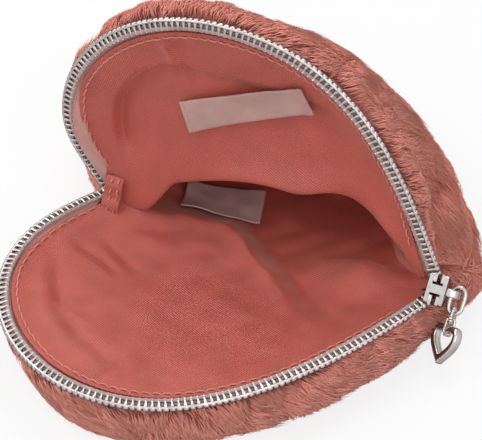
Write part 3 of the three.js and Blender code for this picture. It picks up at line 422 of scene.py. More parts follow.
def pile(name, points, outside, density, length, rise, seed, roots, weights=None, thick=1.0, floor=0.12, sweep=0.7):
    """Tapered hairs that lie along a grid, with their roots between two of its columns. Each runs over the cloth in the
    grid's second direction, swung to one side by about sweep, lifted off it by rise * (1 - (1 - t)^2.4) and drawn to
    the tip of its tuft. Hairs are shorter towards the notch and the zip, and towards the tip on the back panel."""
    rng = np.random.default_rng(seed)
    normal = normals_of(points) * outside
    first, last = roots
    corner = points[:-1, first:last]
    area = np.cross(points[1:, first:last] - corner, points[:-1, first + 1:last + 1] - corner)
    area = np.linalg.norm(area, axis=-1)
    count = int(area.sum() * density)
    order = np.cumsum(area.ravel()) / area.sum()
    pick = np.searchsorted(order, (np.arange(count) + rng.random(count)) / count).clip(0, area.size - 1)
    row, column = (x + rng.random(count) for x in np.unravel_index(pick, area.shape))
    run_u = np.concatenate([[0], np.cumsum(np.linalg.norm(np.diff(points, axis=0), axis=-1).mean(1))])
    run_v = np.concatenate([[0], np.cumsum(np.linalg.norm(np.diff(points, axis=1), axis=-1).mean(0))])
    u = np.interp(row, np.arange(len(run_u)), run_u)
    v = np.interp(column + first, np.arange(len(run_v)), run_v)

    # Tufts are jittered cells on the cloth, each with its own swing, height and tint
    warp_u = u + 2.4 * ripple(u, v, 17, seed + 1)
    warp_v = v + 3.2 * ripple(u, v, 21, seed + 2)
    tuft_u, tuft_v = np.floor(warp_u / TUFT_WIDE).astype(int), np.floor(warp_v / TUFT_LONG).astype(int)
    tufts = np.random.default_rng(seed + 3).random((TUFT_PLACES, 4))
    tuft = tufts[(tuft_u * 7919 + tuft_v * 104729 + seed * 31) % TUFT_PLACES]
    to_u = (tuft_u + 0.3 + 0.4 * tuft[:, 0]) * TUFT_WIDE - warp_u
    to_v = (tuft_v + 0.3 + 0.4 * tuft[:, 1]) * TUFT_LONG - warp_v

    swing = sweep + 0.75 * ripple(u, v, 36, seed + 5) + 0.5 * (tuft[:, 2] - 0.5) + 0.26 * rng.normal(size=count)
    parting = smooth((ripple(u, v, 22, seed + 6) - 0.5) / 0.5)
    reach = length * (0.75 + 0.35 * rng.random(count) + 0.2 * (tuft[:, 3] - 0.5))
    height = rise * (0.55 + 0.7 * tuft[:, 3] + 0.35 * rng.random(count)) * (1 - 0.6 * parting)
    grown = smooth(((u if sweep > 0 else run_u[-1] - u) - 1) / 11)
    if weights is not None:
        grown = grown * smooth((run_u[-1] - u - 2) / 14)
    reach, height = reach * mix(0.25, 1.0, grown), height * mix(0.3, 1.0, grown)
    inside = smooth((v - run_v[first]) / 9)
    reach, swing = reach * mix(0.42, 1.0, inside), mix(np.sign(sweep) * 0.75, swing, mix(0.55, 1.0, inside))
    steps = np.array([0.0, 0.5, 1.0])
    pull = 0.45 * steps ** 1.5
    at_u = u[:, None] + np.outer(reach * np.sin(swing), steps) + np.outer(to_u, pull)
    at_v = v[:, None] + np.outer(reach * np.cos(swing), steps) + np.outer(to_v, pull)
    row = np.interp(at_u, run_u, np.arange(len(run_u)))
    column = np.interp(at_v, run_v, np.arange(len(run_v)))
    up = unit(sample(normal, row, column))
    lift = np.outer(height, 1 - (1 - steps) ** 2.4) - 0.2 * (1 - steps)
    path = sample(points, row, column) + up * lift[..., None]
    path[..., 2] = np.maximum(path[..., 2], floor)

    side = unit(np.cross(up[:, 1], path[:, 2] - path[:, 0]))
    width = np.outer(thick * (0.1 + 0.07 * rng.random(count)), [0.85, 1.0])
    spin = np.array([0.0, 2.0944, 4.1888])
    ring = np.cos(spin)[:, None] * side[:, None, None] * 1.35 + np.sin(spin)[:, None] * up[:, :2, None] * 0.8
    rings = path[:, :2, None] + width[..., None, None] * ring
    verts = np.concatenate([rings.reshape(count, 6, 3), path[:, 2:]], 1)
    shape = np.array([
        [0, 1, 4], [0, 4, 3], [1, 2, 5], [1, 5, 4], [2, 0, 3], [2, 3, 5],
        [3, 4, 6], [4, 5, 6], [5, 3, 6], [0, 2, 1],
    ])
    along = np.repeat(steps, [3, 3, 1])
    # Tint of each hair: random from tuft to tuft and hair to hair, a little lighter on taller tufts, and darker in the
    # partings as painted shade in the creases where the pile parts.
    tint = np.clip(0.25 + 0.35 * tuft[:, 3] + 0.3 * rng.random(count) - 0.6 * parting, 0, 1)
    held = None if weights is None else np.repeat(sample(weights, row, column), [3, 3, 1], axis=1)
    pieces = []
    for number, hairs in enumerate(np.array_split(np.argsort(u), math.ceil(count / MOST_HAIRS))):
        faces = (shape[None] + 7 * np.arange(len(hairs))[:, None, None]).reshape(-1, 3)
        values = {"along": np.tile(along, len(hairs)), "tint": np.repeat(tint[hairs], 7)}
        piece = put_mesh(f"{name}_{number + 1}", verts[hairs].reshape(-1, 3), faces, None, values)
        if held is not None:
            bend_with_flap(piece, held[hairs])
        pieces.append(piece)
    return pieces


# Materials


def set_inputs(made, **values):
    """Sets a node's inputs, named with _ for a space. A colour of three numbers is made opaque."""
    for key, value in values.items():
        made.inputs[key.replace("_", " ")].default_value = (*value, 1) if isinstance(value, tuple) else value


def new_node(tree, kind, **settings):
    """Adds a node and sets its inputs by name and its options by attribute."""
    made = tree.nodes.new(kind)
    for key, value in settings.items():
        if hasattr(made, key):
            setattr(made, key, value)
        else:
            set_inputs(made, **{key: value})
    return made


def feed(tree, pairs):
    """Gives sockets what they are paired with: a socket to be linked, a number or a colour of three numbers."""
    for socket, value in pairs:
        if isinstance(value, (int, float, tuple)):
            socket.default_value = (*value, 1) if isinstance(value, tuple) else value
        else:
            tree.links.new(value, socket)


def math_node(tree, operation, *values):
    """Adds a Math node whose inputs are sockets or numbers."""
    made = new_node(tree, "ShaderNodeMath", operation=operation)
    feed(tree, zip(made.inputs, values))
    return made.outputs[0]


def scaled(tree, value, factor, start):
    """Adds Math nodes for start + factor * value."""
    return math_node(tree, "ADD", math_node(tree, "MULTIPLY", value, factor), start)


def ramp(tree, factor, stops):
    """Colour ramp over a factor: (place, linear colour) stops."""
    made = tree.nodes.new("ShaderNodeValToRGB")
    band = made.color_ramp
    band.elements[0].position, band.elements[0].color = stops[0][0], (*stops[0][1], 1)
    band.elements[1].position, band.elements[1].color = stops[-1][0], (*stops[-1][1], 1)
    for place, colour in stops[1:-1]:
        band.elements.new(place).color = (*colour, 1)
    tree.links.new(factor, made.inputs["Fac"])
    return made.outputs["Color"]


def multiply_colours(tree, a, b):
    """Product of two colour sockets."""
    made = new_node(tree, "ShaderNodeMix", data_type="RGBA", blend_type="MULTIPLY")
    feed(tree, ((made.inputs[0], 1.0), (made.inputs[6], a), (made.inputs[7], b)))
    return made.outputs[2]


def bump(tree, height, shader, strength, distance):
    """Lets a height stand out from a shader's surface."""
    relief = new_node(tree, "ShaderNodeBump", Strength=strength, Distance=distance)
    tree.links.new(height, relief.inputs["Height"])
    tree.links.new(relief.outputs[0], shader.inputs["Normal"])


def new_group(name, inputs, outputs):
    """Empty shader node group with number or vector sockets."""
    group = bpy.data.node_groups.new(name, "ShaderNodeTree")
    for label, kind, value in inputs:
        socket = group.interface.new_socket(label, in_out="INPUT", socket_type=kind)
        if value is not None:
            socket.default_value = value
    for label in outputs:
        group.interface.new_socket(label, in_out="OUTPUT", socket_type="NodeSocketFloat")
    return group, group.nodes.new("NodeGroupInput").outputs, group.nodes.new("NodeGroupOutput").inputs


def weave_group():
    """Woven threads: the two crossing sine waves of a twill, and a slower drift of how strongly they show."""
    if "crossed threads" in bpy.data.node_groups:
        return bpy.data.node_groups["crossed threads"]
    group, given, made = new_group(
        "crossed threads",
        [("Place", "NodeSocketVector", None), ("Pitch", "NodeSocketFloat", 0.6), ("Slant", "NodeSocketFloat", 0.5)],
        ["Height", "Drift"],
    )
    split = group.nodes.new("ShaderNodeSeparateXYZ")
    group.links.new(given["Place"], split.inputs[0])
    x, y = split.outputs["X"], split.outputs["Y"]
    turns = math_node(group, "DIVIDE", 2 * math.pi, given["Pitch"])
    waves = []
    for operation, one, other in (("ADD", x, y), ("SUBTRACT", y, x)):
        lean = math_node(group, operation, one, math_node(group, "MULTIPLY", other, given["Slant"]))
        waves.append(math_node(group, "SINE", math_node(group, "MULTIPLY", lean, turns)))
    crossed = math_node(group, "ADD", math_node(group, "MULTIPLY", *waves), 1.0)
    group.links.new(math_node(group, "MULTIPLY", crossed, 0.5), made["Height"])
    noise = new_node(group, "ShaderNodeTexNoise", Scale=0.11, Detail=2.0)
    group.links.new(given["Place"], noise.inputs["Vector"])
    group.links.new(noise.outputs["Fac"], made["Drift"])
    return group


def smudge_group():
    """Handled metal: soft blotches and fine scratches from two noises."""
    if "handled metal" in bpy.data.node_groups:
        return bpy.data.node_groups["handled metal"]
    group, given, made = new_group("handled metal", [("Place", "NodeSocketVector", None)], ["Blotch", "Scratch"])
    soft = new_node(group, "ShaderNodeTexNoise", Scale=420.0, Detail=3.0)
    fine = new_node(group, "ShaderNodeTexNoise", Scale=3000.0, Detail=2.0, Distortion=1.5)
    for noise, name in ((soft, "Blotch"), (fine, "Scratch")):
        group.links.new(given["Place"], noise.inputs["Vector"])
        group.links.new(noise.outputs["Fac"], made[name])
    return group


def start_material(name):
    """Empty material with its tree and Principled shader."""
    if name in bpy.data.materials:
        return bpy.data.materials[name], None, None
    material = bpy.data.materials.new(name)
    material.use_nodes = True
    tree = material.node_tree
    return material, tree, tree.nodes["Principled BSDF"]


def cloth_material(name, dark, light, pitch, slant, roughness, sheen, relief, tint=(1.0, 0.75, 0.7), gloss=0.4):
    """Woven cloth on its own UV map in millimetres: thread bumps, tone drift, a painted highlight on the thread tops,
    painted shade between the threads, and a soft sheen.
    """
    material, tree, shader = start_material(name)
    if tree is None:
        return material
    place = new_node(tree, "ShaderNodeUVMap", uv_map="cloth").outputs[0]
    weave = tree.nodes.new("ShaderNodeGroup")
    weave.node_tree = weave_group()
    set_inputs(weave, Pitch=pitch, Slant=slant)
    tree.links.new(place, weave.inputs["Place"])
    base = ramp(tree, weave.outputs["Drift"], [(0.3, dark), (0.7, light)])
    # Colour by thread height: a painted highlight, paler and whiter, on the thread tops, and painted shade between the
    # threads.
    shade = ramp(tree, weave.outputs["Height"], [(0.0, (0.76, 0.66, 0.66)), (1.0, (1.26, 1.5, 1.5))])
    tree.links.new(multiply_colours(tree, base, shade), shader.inputs["Base Color"])
    tree.links.new(scaled(tree, weave.outputs["Height"], -0.12, roughness), shader.inputs["Roughness"])
    bump(tree, weave.outputs["Height"], shader, relief, 0.0002)
    set_inputs(shader, Sheen_Weight=sheen, Sheen_Roughness=0.45, Sheen_Tint=tint, Specular_IOR_Level=gloss)
    return material


def pile_material(name, root, middle, tip):
    """Hair: dark at the root and pale at the tip, the darker root partly painted shade of roots lying under the hairs
    over them and partly the pile's own colour, with each tuft a little lighter or darker and painted shade in the
    partings.
    """
    material, tree, shader = start_material(name)
    if tree is None:
        return material
    along = new_node(tree, "ShaderNodeAttribute", attribute_name="along").outputs["Fac"]
    tint = new_node(tree, "ShaderNodeAttribute", attribute_name="tint").outputs["Fac"]
    # Root to tip: the darker root is partly painted shade of the roots under the hairs lying over them, and partly the
    # pile's own darker colour.
    base = ramp(tree, along, [(0.0, root), (0.45, middle), (1.0, tip)])
    # Tint: random from tuft to tuft, and darker in the partings, which is painted shade in the creases where the pile
    # parts.
    shade = ramp(tree, tint, [(0.0, (0.88, 0.84, 0.83)), (1.0, (1.06, 1.07, 1.07))])
    tree.links.new(multiply_colours(tree, base, shade), shader.inputs["Base Color"])
    tree.links.new(scaled(tree, tint, -0.15, 0.8), shader.inputs["Roughness"])
    set_inputs(shader, Sheen_Weight=0.08, Sheen_Tint=(1.0, 0.66, 0.6), Specular_IOR_Level=0.12)
    return material


def backing_material(name, dark, light):
    """Knitted backing under the pile: blotchy dark cloth with a fine bump."""
    material, tree, shader = start_material(name)
    if tree is None:
        return material
    place = tree.nodes.new("ShaderNodeTexCoord").outputs["Object"]
    noise = new_node(tree, "ShaderNodeTexNoise", Scale=260.0, Detail=4.0)
    tree.links.new(place, noise.inputs["Vector"])
    tree.links.new(ramp(tree, noise.outputs["Fac"], [(0.3, dark), (0.75, light)]), shader.inputs["Base Color"])
    bump(tree, noise.outputs["Fac"], shader, 0.6, 0.0006)
    set_inputs(shader, Roughness=0.95)
    return material


def metal_material(name, colour, worn, roughness, metallic):
    """Plated metal or silvered plastic: smudged gloss, faint darker wear, a painted highlight where it faces the camera
    and painted shade, standing in for dark reflections, where it turns away.
    """
    material, tree, shader = start_material(name)
    if tree is None:
        return material
    place = tree.nodes.new("ShaderNodeTexCoord").outputs["Object"]
    smudge = tree.nodes.new("ShaderNodeGroup")
    smudge.node_tree = smudge_group()
    tree.links.new(place, smudge.inputs["Place"])
    base = ramp(tree, smudge.outputs["Blotch"], [(0.35, worn), (0.6, colour)])
    # Colour by facing: a painted highlight where the surface faces the camera and painted shade, for dark reflections,
    # where it turns away.
    turned = new_node(tree, "ShaderNodeLayerWeight", Blend=0.45).outputs["Facing"]
    shade = ramp(tree, turned, [(0.05, (1.3, 1.28, 1.27)), (0.45, (0.75, 0.71, 0.7)), (0.9, (0.2, 0.16, 0.15))])
    tree.links.new(multiply_colours(tree, base, shade), shader.inputs["Base Color"])
    tree.links.new(scaled(tree, smudge.outputs["Scratch"], 0.14, roughness - 0.07), shader.inputs["Roughness"])
    set_inputs(shader, Metallic=metallic)
    return material


def lining_cloth(settings):
    """Coral twill of the lining and of the tab at the zip's end."""
    dark, light = (tuple(np.array(settings.lining_colour) * tone) for tone in (0.9, 1.08))
    return cloth_material("coral twill", dark, light, 0.86, 0.45, 0.38, 0.4, 0.8, (1.0, 0.76, 0.66), 0.62)


def sewing_thread():
    """Pale coral thread of the stitches."""
    return cloth_material("sewing thread", (0.6, 0.19, 0.155), (0.76, 0.33, 0.28), 0.4, 1.0, 0.7, 0.1, 0.4)


def plush_backing():
    """Dark rose cloth that the pile stands on."""
    return backing_material("plush backing", (0.54, 0.165, 0.132), (0.66, 0.225, 0.182))


def plush_pile(settings):
    """Dusty rose pile."""
    tip, root = np.array(settings.pile_tip_colour), np.array(settings.pile_root_colour)
    return pile_material("rose pile", tuple(root), tuple(mix(root, tip, 0.6)), tuple(tip))


# Settings


class PileSettings(bpy.types.PropertyGroup):
    """Plush pile and lining."""

    pile_length: FloatProperty(name="Pile Length", description="Length of a hair", default=0.0125, unit="LENGTH")
    pile_density: FloatProperty(name="Pile Density", description="Hairs on a square millimetre", default=5.4, min=0.1)
    pile_rise: FloatProperty(
        name="Pile Rise", description="Height of a hair's tip above the cloth", default=0.002, unit="LENGTH")
    # Darker than the tip partly as painted shade of the roots under the hairs over them.
    pile_root_colour: FloatVectorProperty(
        name="Root Colour", description="Colour of the hair at the cloth", subtype="COLOR",
        default=(0.72, 0.235, 0.185))
    pile_tip_colour: FloatVectorProperty(
        name="Tip Colour", description="Colour of the hair's tip", subtype="COLOR", default=(1.0, 0.44, 0.355))
    lining_colour: FloatVectorProperty(
        name="Lining Colour", description="Colour of the twill", subtype="COLOR", default=(0.55, 0.086, 0.058))
    fold_depth: FloatProperty(
        name="Fold Depth", description="Depth of the lining's soft folds", default=0.0016, unit="LENGTH")


class ZipSettings(bpy.types.PropertyGroup):
    """Zip, stitching and chain."""

    tooth_pitch: FloatProperty(
        name="Tooth Pitch", description="From one turn of the coil to the next", default=0.00175, unit="LENGTH")
    tooth_width: FloatProperty(name="Tooth Width", description="Width of a row of teeth", default=0.0032, unit="LENGTH")
    stitch_length: FloatProperty(
        name="Stitch Length", description="From one stitch to the next", default=0.003, unit="LENGTH")
    thread: FloatProperty(name="Thread", description="Thickness of the thread", default=0.0005, unit="LENGTH")
    teeth_colour: FloatVectorProperty(
        name="Teeth Colour", description="Colour of the coil", subtype="COLOR", default=(0.55, 0.51, 0.5))
    metal_colour: FloatVectorProperty(
        name="Metal Colour", description="Colour of the slider and chain", subtype="COLOR", default=(0.5, 0.485, 0.465))
    wire_steps: IntProperty(name="Wire Steps", description="Steps round a wire loop", default=72, min=12)


class StageSettings(bpy.types.PropertyGroup):
    """Camera and light."""

    azimuth: FloatProperty(
        name="Azimuth", description="Camera's turn round the bag", default=math.radians(21.74), subtype="ANGLE")
    elevation: FloatProperty(
        name="Elevation", description="Camera's height above the horizon", default=math.radians(49.0), subtype="ANGLE")
    distance: FloatProperty(name="Distance", description="Camera to the bag", default=0.56, unit="LENGTH")
    key_power: FloatProperty(name="Key Light", description="Power of the key light", default=1.5, unit="POWER")
    back_power: FloatProperty(
        name="Back Light", description="Power of the light behind the bag", default=4.2, unit="POWER")
    fill_power: FloatProperty(name="Fill Light", description="Power of the fill light", default=2.2, unit="POWER")
    surround: FloatProperty(name="Surround", description="Strength of the light from all round", default=0.48)


# Pieces


def front_rays(turn):
    """Rays from the heart's middle: turn 0 to 1 runs from notch to tip on the zip side, 1 to 2 back on the sewn one."""
    share = 1 - np.abs(1 - turn)
    side = np.where(turn <= 1, -1.0, 1.0)
    rim = edge(share) * np.stack([np.ones_like(side), side], -1)
    way = rim - MIDDLE
    length = np.linalg.norm(way, axis=1)
    sewn = np.where(turn > 1, smooth(np.minimum(share, 1 - share) / 0.1), 0.0)
    hang = np.where(turn > 1, overhang(share, True), overhang(share))
    tuck = np.where(turn > 1, 0.0, 9 * smooth(share / 0.08) * (1 - smooth((share - 0.26) / 0.22)))
    return {
        "share": share, "rim": rim, "way": way / length[:, None], "length": length, "sewn": sewn, "hang": hang,
        "tuck": tuck,
    }


def on_rays(rays, out, height):
    """Points on the rays, past the outline by out, at a height."""
    place = rays["rim"][:, None] + rays["way"][:, None] * out[..., None]
    return np.concatenate([place, np.broadcast_to(height, out.shape)[..., None]], -1)


def front_rim_rows(rays):
    """Plush rim of the front panel: rows from the zip line out over the rounded edge to the flat underside."""
    zip_side = mix(0.42, 1.6, smooth((rays["share"] - 0.46) / 0.38))
    hang = (rays["hang"] * mix(zip_side, 1.4 * fullness(rays["share"]), rays["sewn"]))[:, None]
    top = mix(ZIP_HEIGHT - PLUSH_START, ZIP_HEIGHT - 0.4, rays["sewn"])[:, None]
    out = np.array([-0.4, 0.2, 0.48, 0.64, 0.64, 0.48, 0.15, -0.6])[None] * hang
    out = out + np.array([0, 0, 0, 0, 0, 0, -0.4, -2.5])[None]
    level = np.array([0.95, 0.93, 0.82, 0.62, 0.41, 0.22, 0.12, 0.09])[None]
    return on_rays(rays, out - (1 - level) * rays["tuck"][:, None], level * top)


class BAG_OT_front_plush(bpy.types.Operator):
    """Front panel's plush: a closed base with a flat underside, and its pile"""

    bl_idname = "bag.front_plush"
    bl_label = "Front Plush"

    def execute(self, context):
        settings = context.scene.bag_pile
        rays = front_rays(np.linspace(0, 2, 361)[:-1])
        rim = front_rim_rows(rays)
        length = rays["length"][:, None]
        inside = on_rays(rays, -np.array([[0.96, 0.7, 0.4, 0.18]]) * length, np.array([[3.2, 3.6, 5.0, 8.5]]))
        sole = on_rays(rays, -np.array([[0.25, 0.6, 0.96]]) * length, 0.9)
        rows = np.concatenate([inside, rim, sole], 1)
        steps, count = rows.shape[:2]
        faces = grid_faces(steps, count, True)
        ends = np.array([[*MIDDLE, 3.2], [*MIDDLE, 0.9]])
        first = np.arange(steps) * count
        ahead = np.roll(first, -1)
        fan = np.stack([ahead, first, np.full(steps, steps * count)], -1)
        under = np.stack([first + count - 1, ahead + count - 1, np.full(steps, steps * count + 1)], -1)
        base = put_mesh("front_plush_base", np.concatenate([rows.reshape(-1, 3), ends]), [faces, fan, under])
        finish_piece(base, plush_backing(), "pouch", ["front_fur_panel"])
        hair, rise, density = settings.pile_length / MM, settings.pile_rise / MM, settings.pile_density
        skin = np.concatenate([rim, sole], 1)
        skin = np.concatenate([skin, skin[:1]])
        zip_side, sewn_side = skin[:181], skin[180:]
        made = pile("front_pile_zip_side", zip_side, -1.0, density, hair, rise, 11, (0, 6), sweep=0.8)
        made += pile("front_pile_sewn_side", sewn_side, -1.0, density, hair, rise, 12, (0, 6), sweep=-0.8)
        made += pile("underside_pile", skin, -1.0, 0.17 * density, hair, 0.2, 13, (6, 10), thick=1.9, floor=0.1)
        for hairs in made:
            finish_piece(hairs, plush_pile(settings), "pouch")
        return {"FINISHED"}


def back_rows(sections):
    """Outer skin of the back panel: over the flap's rim, down its back into the fold, and over the sewn half to the
    seam. Also each row's weight between the pouch (0) and the flap (1)."""
    share, thick = sections["share"][:, None], sections["plush"][:, None]
    hang = overhang(share) * (1 - 0.45 * np.exp(-((share - 0.62) / 0.13) ** 2))
    hang = hang * mix(1.0, 0.3, smooth((share - 0.86) / 0.08))
    length = sections["length"][:, None]
    slope = 10 * sections["lip"][:, 1:] / LIP_RISE
    rim_out = np.array([-0.5, 0.0, 0.42, 0.64, 0.58, 0.28])[None] * hang
    rim_out[:, :1] = -1.5
    rim_depth = PLUSH_START + np.array([0.06, 0.06, 0.16, 0.38, 0.6, 0.71])[None] * thick
    rim = on_section(sections, rim_out, rim_depth)
    parts = np.linspace(0.0, 1.0, 13)[None, 1:]
    out = mix(-0.05 * length, 0.62 * slope - length, parts)
    back = on_section(sections, out, PLUSH_START + 0.74 * thick + 0 * out)
    fold_depth = PLUSH_START + np.array([[0.42, 0.16]]) * thick
    fold = on_section(sections, np.array([[0.42, 0.26]]) * slope - length, fold_depth)
    roof_thick = thick * mix(0.4, 1.0, sections["swell"])[:, None]
    roof_parts = np.array([0.1, 0.15, 0.22, 0.3, 0.38, 0.46, 0.54, 0.62, 0.7, 0.78, 0.85])[None]
    roof_level = np.array([0.16, 0.34, 0.54, 0.7, 0.74, 0.74, 0.74, 0.74, 0.74, 0.74, 0.73])[None]
    roof = on_roof(sections, roof_parts, 1.1 + roof_level * roof_thick)
    seam = on_roof_rim(sections, [0.5, 0.92, 1.0, 0.66, -0.1], [0.66, 0.44, 0.22, 0.04, 0.02])
    ends = 1 - smooth(np.minimum(sections["share"], 1 - sections["share"]) / 0.15)
    seam[..., 2] -= np.outer(ends, [0.4, 1.4, 2.6, 3.6, 4.2])
    rows = relax(np.concatenate([rim, back, fold, roof, seam], 1), 3)
    across_fold = [0.98, 0.93, 0.85, 0.76, 0.64, 0.52, 0.4, 0.27, 0.15, 0.06, 0.01]
    flap_weight = np.concatenate([np.ones(14), across_fold, np.zeros(11)])
    return rows, np.broadcast_to(flap_weight, rows.shape[:2]).copy()


class BAG_OT_back_plush(bpy.types.Operator):
    """Back panel's plush, folded between the flap and the sewn half"""

    bl_idname = "bag.back_plush"
    bl_label = "Back Plush"

    def execute(self, context):
        settings = context.scene.bag_pile
        sections = flap_sections(np.linspace(share_at(3.0, False), share_at(7.0, True), 170))
        rows, weights = back_rows(sections)
        base = cloth_sheet("back_plush_base", rows, 1.0)
        bend_with_flap(base, weights)
        finish_piece(base, plush_backing(), None, ["back_fur_pouch_half", "back_fur_flap_half"])
        hair, rise, density = settings.pile_length / MM, settings.pile_rise / MM, settings.pile_density
        outside = float(np.sign(normals_of(rows)[85, 12] @ FLAP_OUT))
        made = pile("flap_pile", rows, outside, density, hair, rise, 21, (0, 17), weights)
        made += pile("sewn_half_pile", rows, outside, density, hair, rise, 22, (21, 34), weights)
        made += pile("fold_pile", rows, outside, 2.2 * density, 0.8 * hair, 0.35 * rise, 23, (16, 22), weights)
        for hairs in made:
            finish_piece(hairs, plush_pile(settings), None)
        return {"FINISHED"}


def front_sag(x, y):
    """Sag of the front lining below the zip line: a billow, a deep valley behind its crest and a hump near the tip."""
    crest = 5.5 - 0.74 * (x + 13) * smooth((x + 22) / 18)
    middle = smooth((x + 44) / 16) * (1 - 0.45 * smooth((x - 12) / 18))
    hump = 3.4 * np.exp(-((x - 26) / 9) ** 2 - ((y - 1) / 6.5) ** 2)
    return mix(5.4, 10.0, smooth((y - crest + 3) / 11) * middle) - hump


def crease(x, y, path, ridge, groove, width):
    """Fold along a path of places: a rounded ridge on its right and a groove on its left, fading out at both ends."""
    best, side, along, run = np.full(np.shape(x), 1e9), np.zeros(np.shape(x)), np.zeros(np.shape(x)), 0.0
    for a, b in zip(np.array(path[:-1]), np.array(path[1:])):
        way = b - a
        length = np.hypot(*way)
        t = np.clip(((x - a[0]) * way[0] + (y - a[1]) * way[1]) / length ** 2, 0, 1)
        gap_x, gap_y = x - a[0] - t * way[0], y - a[1] - t * way[1]
        gap = np.hypot(gap_x, gap_y)
        near = gap < best
        side = np.where(near, np.sign(way[1] * gap_x - way[0] * gap_y), side)
        along = np.where(near, run + t * length, along)
        best = np.minimum(gap, best)
        run = run + length
    across = best * side / width
    held = smooth(along / (0.3 * run)) * smooth((run - along) / (0.3 * run))
    return held * (ridge * np.exp(-(across - 1) ** 2) - groove * np.exp(-(across + 0.7) ** 2))


# Each fold of the front lining: the path of its line, its ridge, its groove and its width
LOBE_FOLD = [(-57.5, -20), (-54.9, -27.5), (-46, -43.3), (-36.6, -50.4), (-21.9, -55.6), (-12, -57)]
NOTCH_FOLD = [(-45, -8), (-36.3, -7.6), (-29.4, -5.9), (-22.9, -2.9), (-14, 2)]
FRONT_FOLDS = (
    (LOBE_FOLD, 0.7, 1.3, 2.3),
    ([(-54, -20.4), (-46, -21.4), (-34, -25)], 0.3, 0.7, 1.6),
    ([(-47, -14.5), (-38, -18.6), (-28, -23)], 0.25, 0.55, 1.8),
    ([(-47.5, -38.5), (-42, -41.1), (-33, -42.2)], 0.25, 0.5, 1.5),
    (NOTCH_FOLD, 0.5, 0.9, 3.2),
    ([(-23.6, -64), (-22.7, -60), (-20.6, -55.5)], 0.3, 0.45, 1.2),
    ([(-17.5, -54.2), (-12.9, -54.8), (-7, -57)], 0.25, 0.4, 1.2),
    ([(-44.5, -60), (-41.3, -55.9), (-34, -51.8)], 0.25, 0.45, 1.3),
)


def front_lining_height(x, y, folds):
    """Front lining's face: the zip line less its sag, which grows as 1 - s^3.5 from the edge in, with soft folds."""
    part = np.minimum(ray_part(x, y), 1)
    crest = y - 5.5 + 0.74 * (x + 13) * smooth((x + 22) / 18)
    fold = 1.1 * np.exp(-((crest + 2.5) / 3.2) ** 2) * smooth((x + 40) / 14) * (1 - smooth((x - 2) / 14))
    fold = fold + 2.1 * np.exp(-((x - 27) / 11) ** 2) * smooth((y + 9) / 9) * (1 - smooth((y - 3.5) / 3.5))
    pleats = 0.4 * folds * ripple(x, y, 24, 41) + 0.16 * folds * ripple(x, y, 9, 42)
    pleats = pleats + folds / 1.6 * sum(crease(x, y, *fold_line) for fold_line in FRONT_FOLDS)
    throat = 1.8 * np.exp(-((x + 38) / 7) ** 2 - ((y + 1) / 6) ** 2)
    return ZIP_HEIGHT - front_sag(x, y) * (1 - part ** 3.5) + (fold + throat + pleats) * smooth((1 - part) / 0.16)


class BAG_OT_front_lining(bpy.types.Operator):
    """Front lining: one sheet of twill across the heart, from the zip to the seam"""

    bl_idname = "bag.front_lining"
    bl_label = "Front Lining"

    def execute(self, context):
        settings = context.scene.bag_pile
        folds = settings.fold_depth / MM
        share = np.linspace(0.012, 0.985, 236)
        part = np.linspace(-1, 1, 182)
        axis, way, length = front_spokes(share)
        zip_side, sewn_side = np.minimum(lining_inset(share), 0.6 * length), np.minimum(1.2, 0.5 * length)
        inset = np.where(part[None] < 0, zip_side[:, None], sewn_side[:, None])
        reach = (length[:, None] - inset) * np.abs(part)[None]
        place = axis[:, None] + way[:, None] * reach[..., None]
        x = place[..., 0]
        y = place[..., 1] * np.sign(part)[None]
        points = np.stack([x, y, front_lining_height(x, y, folds)], -1)
        cloth = cloth_sheet("front_lining_cloth", points, 0.5, np.stack([x, y], -1))
        finish_piece(cloth, lining_cloth(settings), "pouch", ["front_lining"])
        return {"FINISHED"}


def flap_folds(x, rise, folds):
    """Folds of the flap's lining, depth behind its face: a crescent round the lobe, steep on its outer side, a pinch at
    the top with a ledge beside it, a roll near the tip and soft pleats."""
    inside = 22 - np.hypot(x + 27, rise - 25)
    crescent = 2.1 * folds * smooth((-25 - x) / 9) * smooth((rise - 11) / 9)
    crescent = crescent * smooth(inside / 2.2 + 0.5) * np.exp(-np.maximum(inside, 0) / 7)
    across = x + 33.5 - 0.48 * (53.5 - rise)
    pinch = -1.1 * folds * smooth((across + 5) / 5) * smooth((1.2 - across) / 1.6) * smooth((rise - 40) / 10)
    roll = -1.3 * folds * np.exp(-((x - 34) / 6) ** 2 - ((rise - 14) / 5) ** 2)
    pleats = 0.3 * folds * ripple(x, rise, 30, 51) + 0.06 * folds * ripple(x, rise, 11, 52)
    ledge = 0.9 * folds * smooth((48 - rise) / 3.5) * np.exp(-np.maximum(44 - rise, 0) / 9)
    ledge = ledge * smooth((x + 31) / 5) * (1 - smooth((x - 4) / 14))
    return crescent + pinch + ledge + roll + pleats


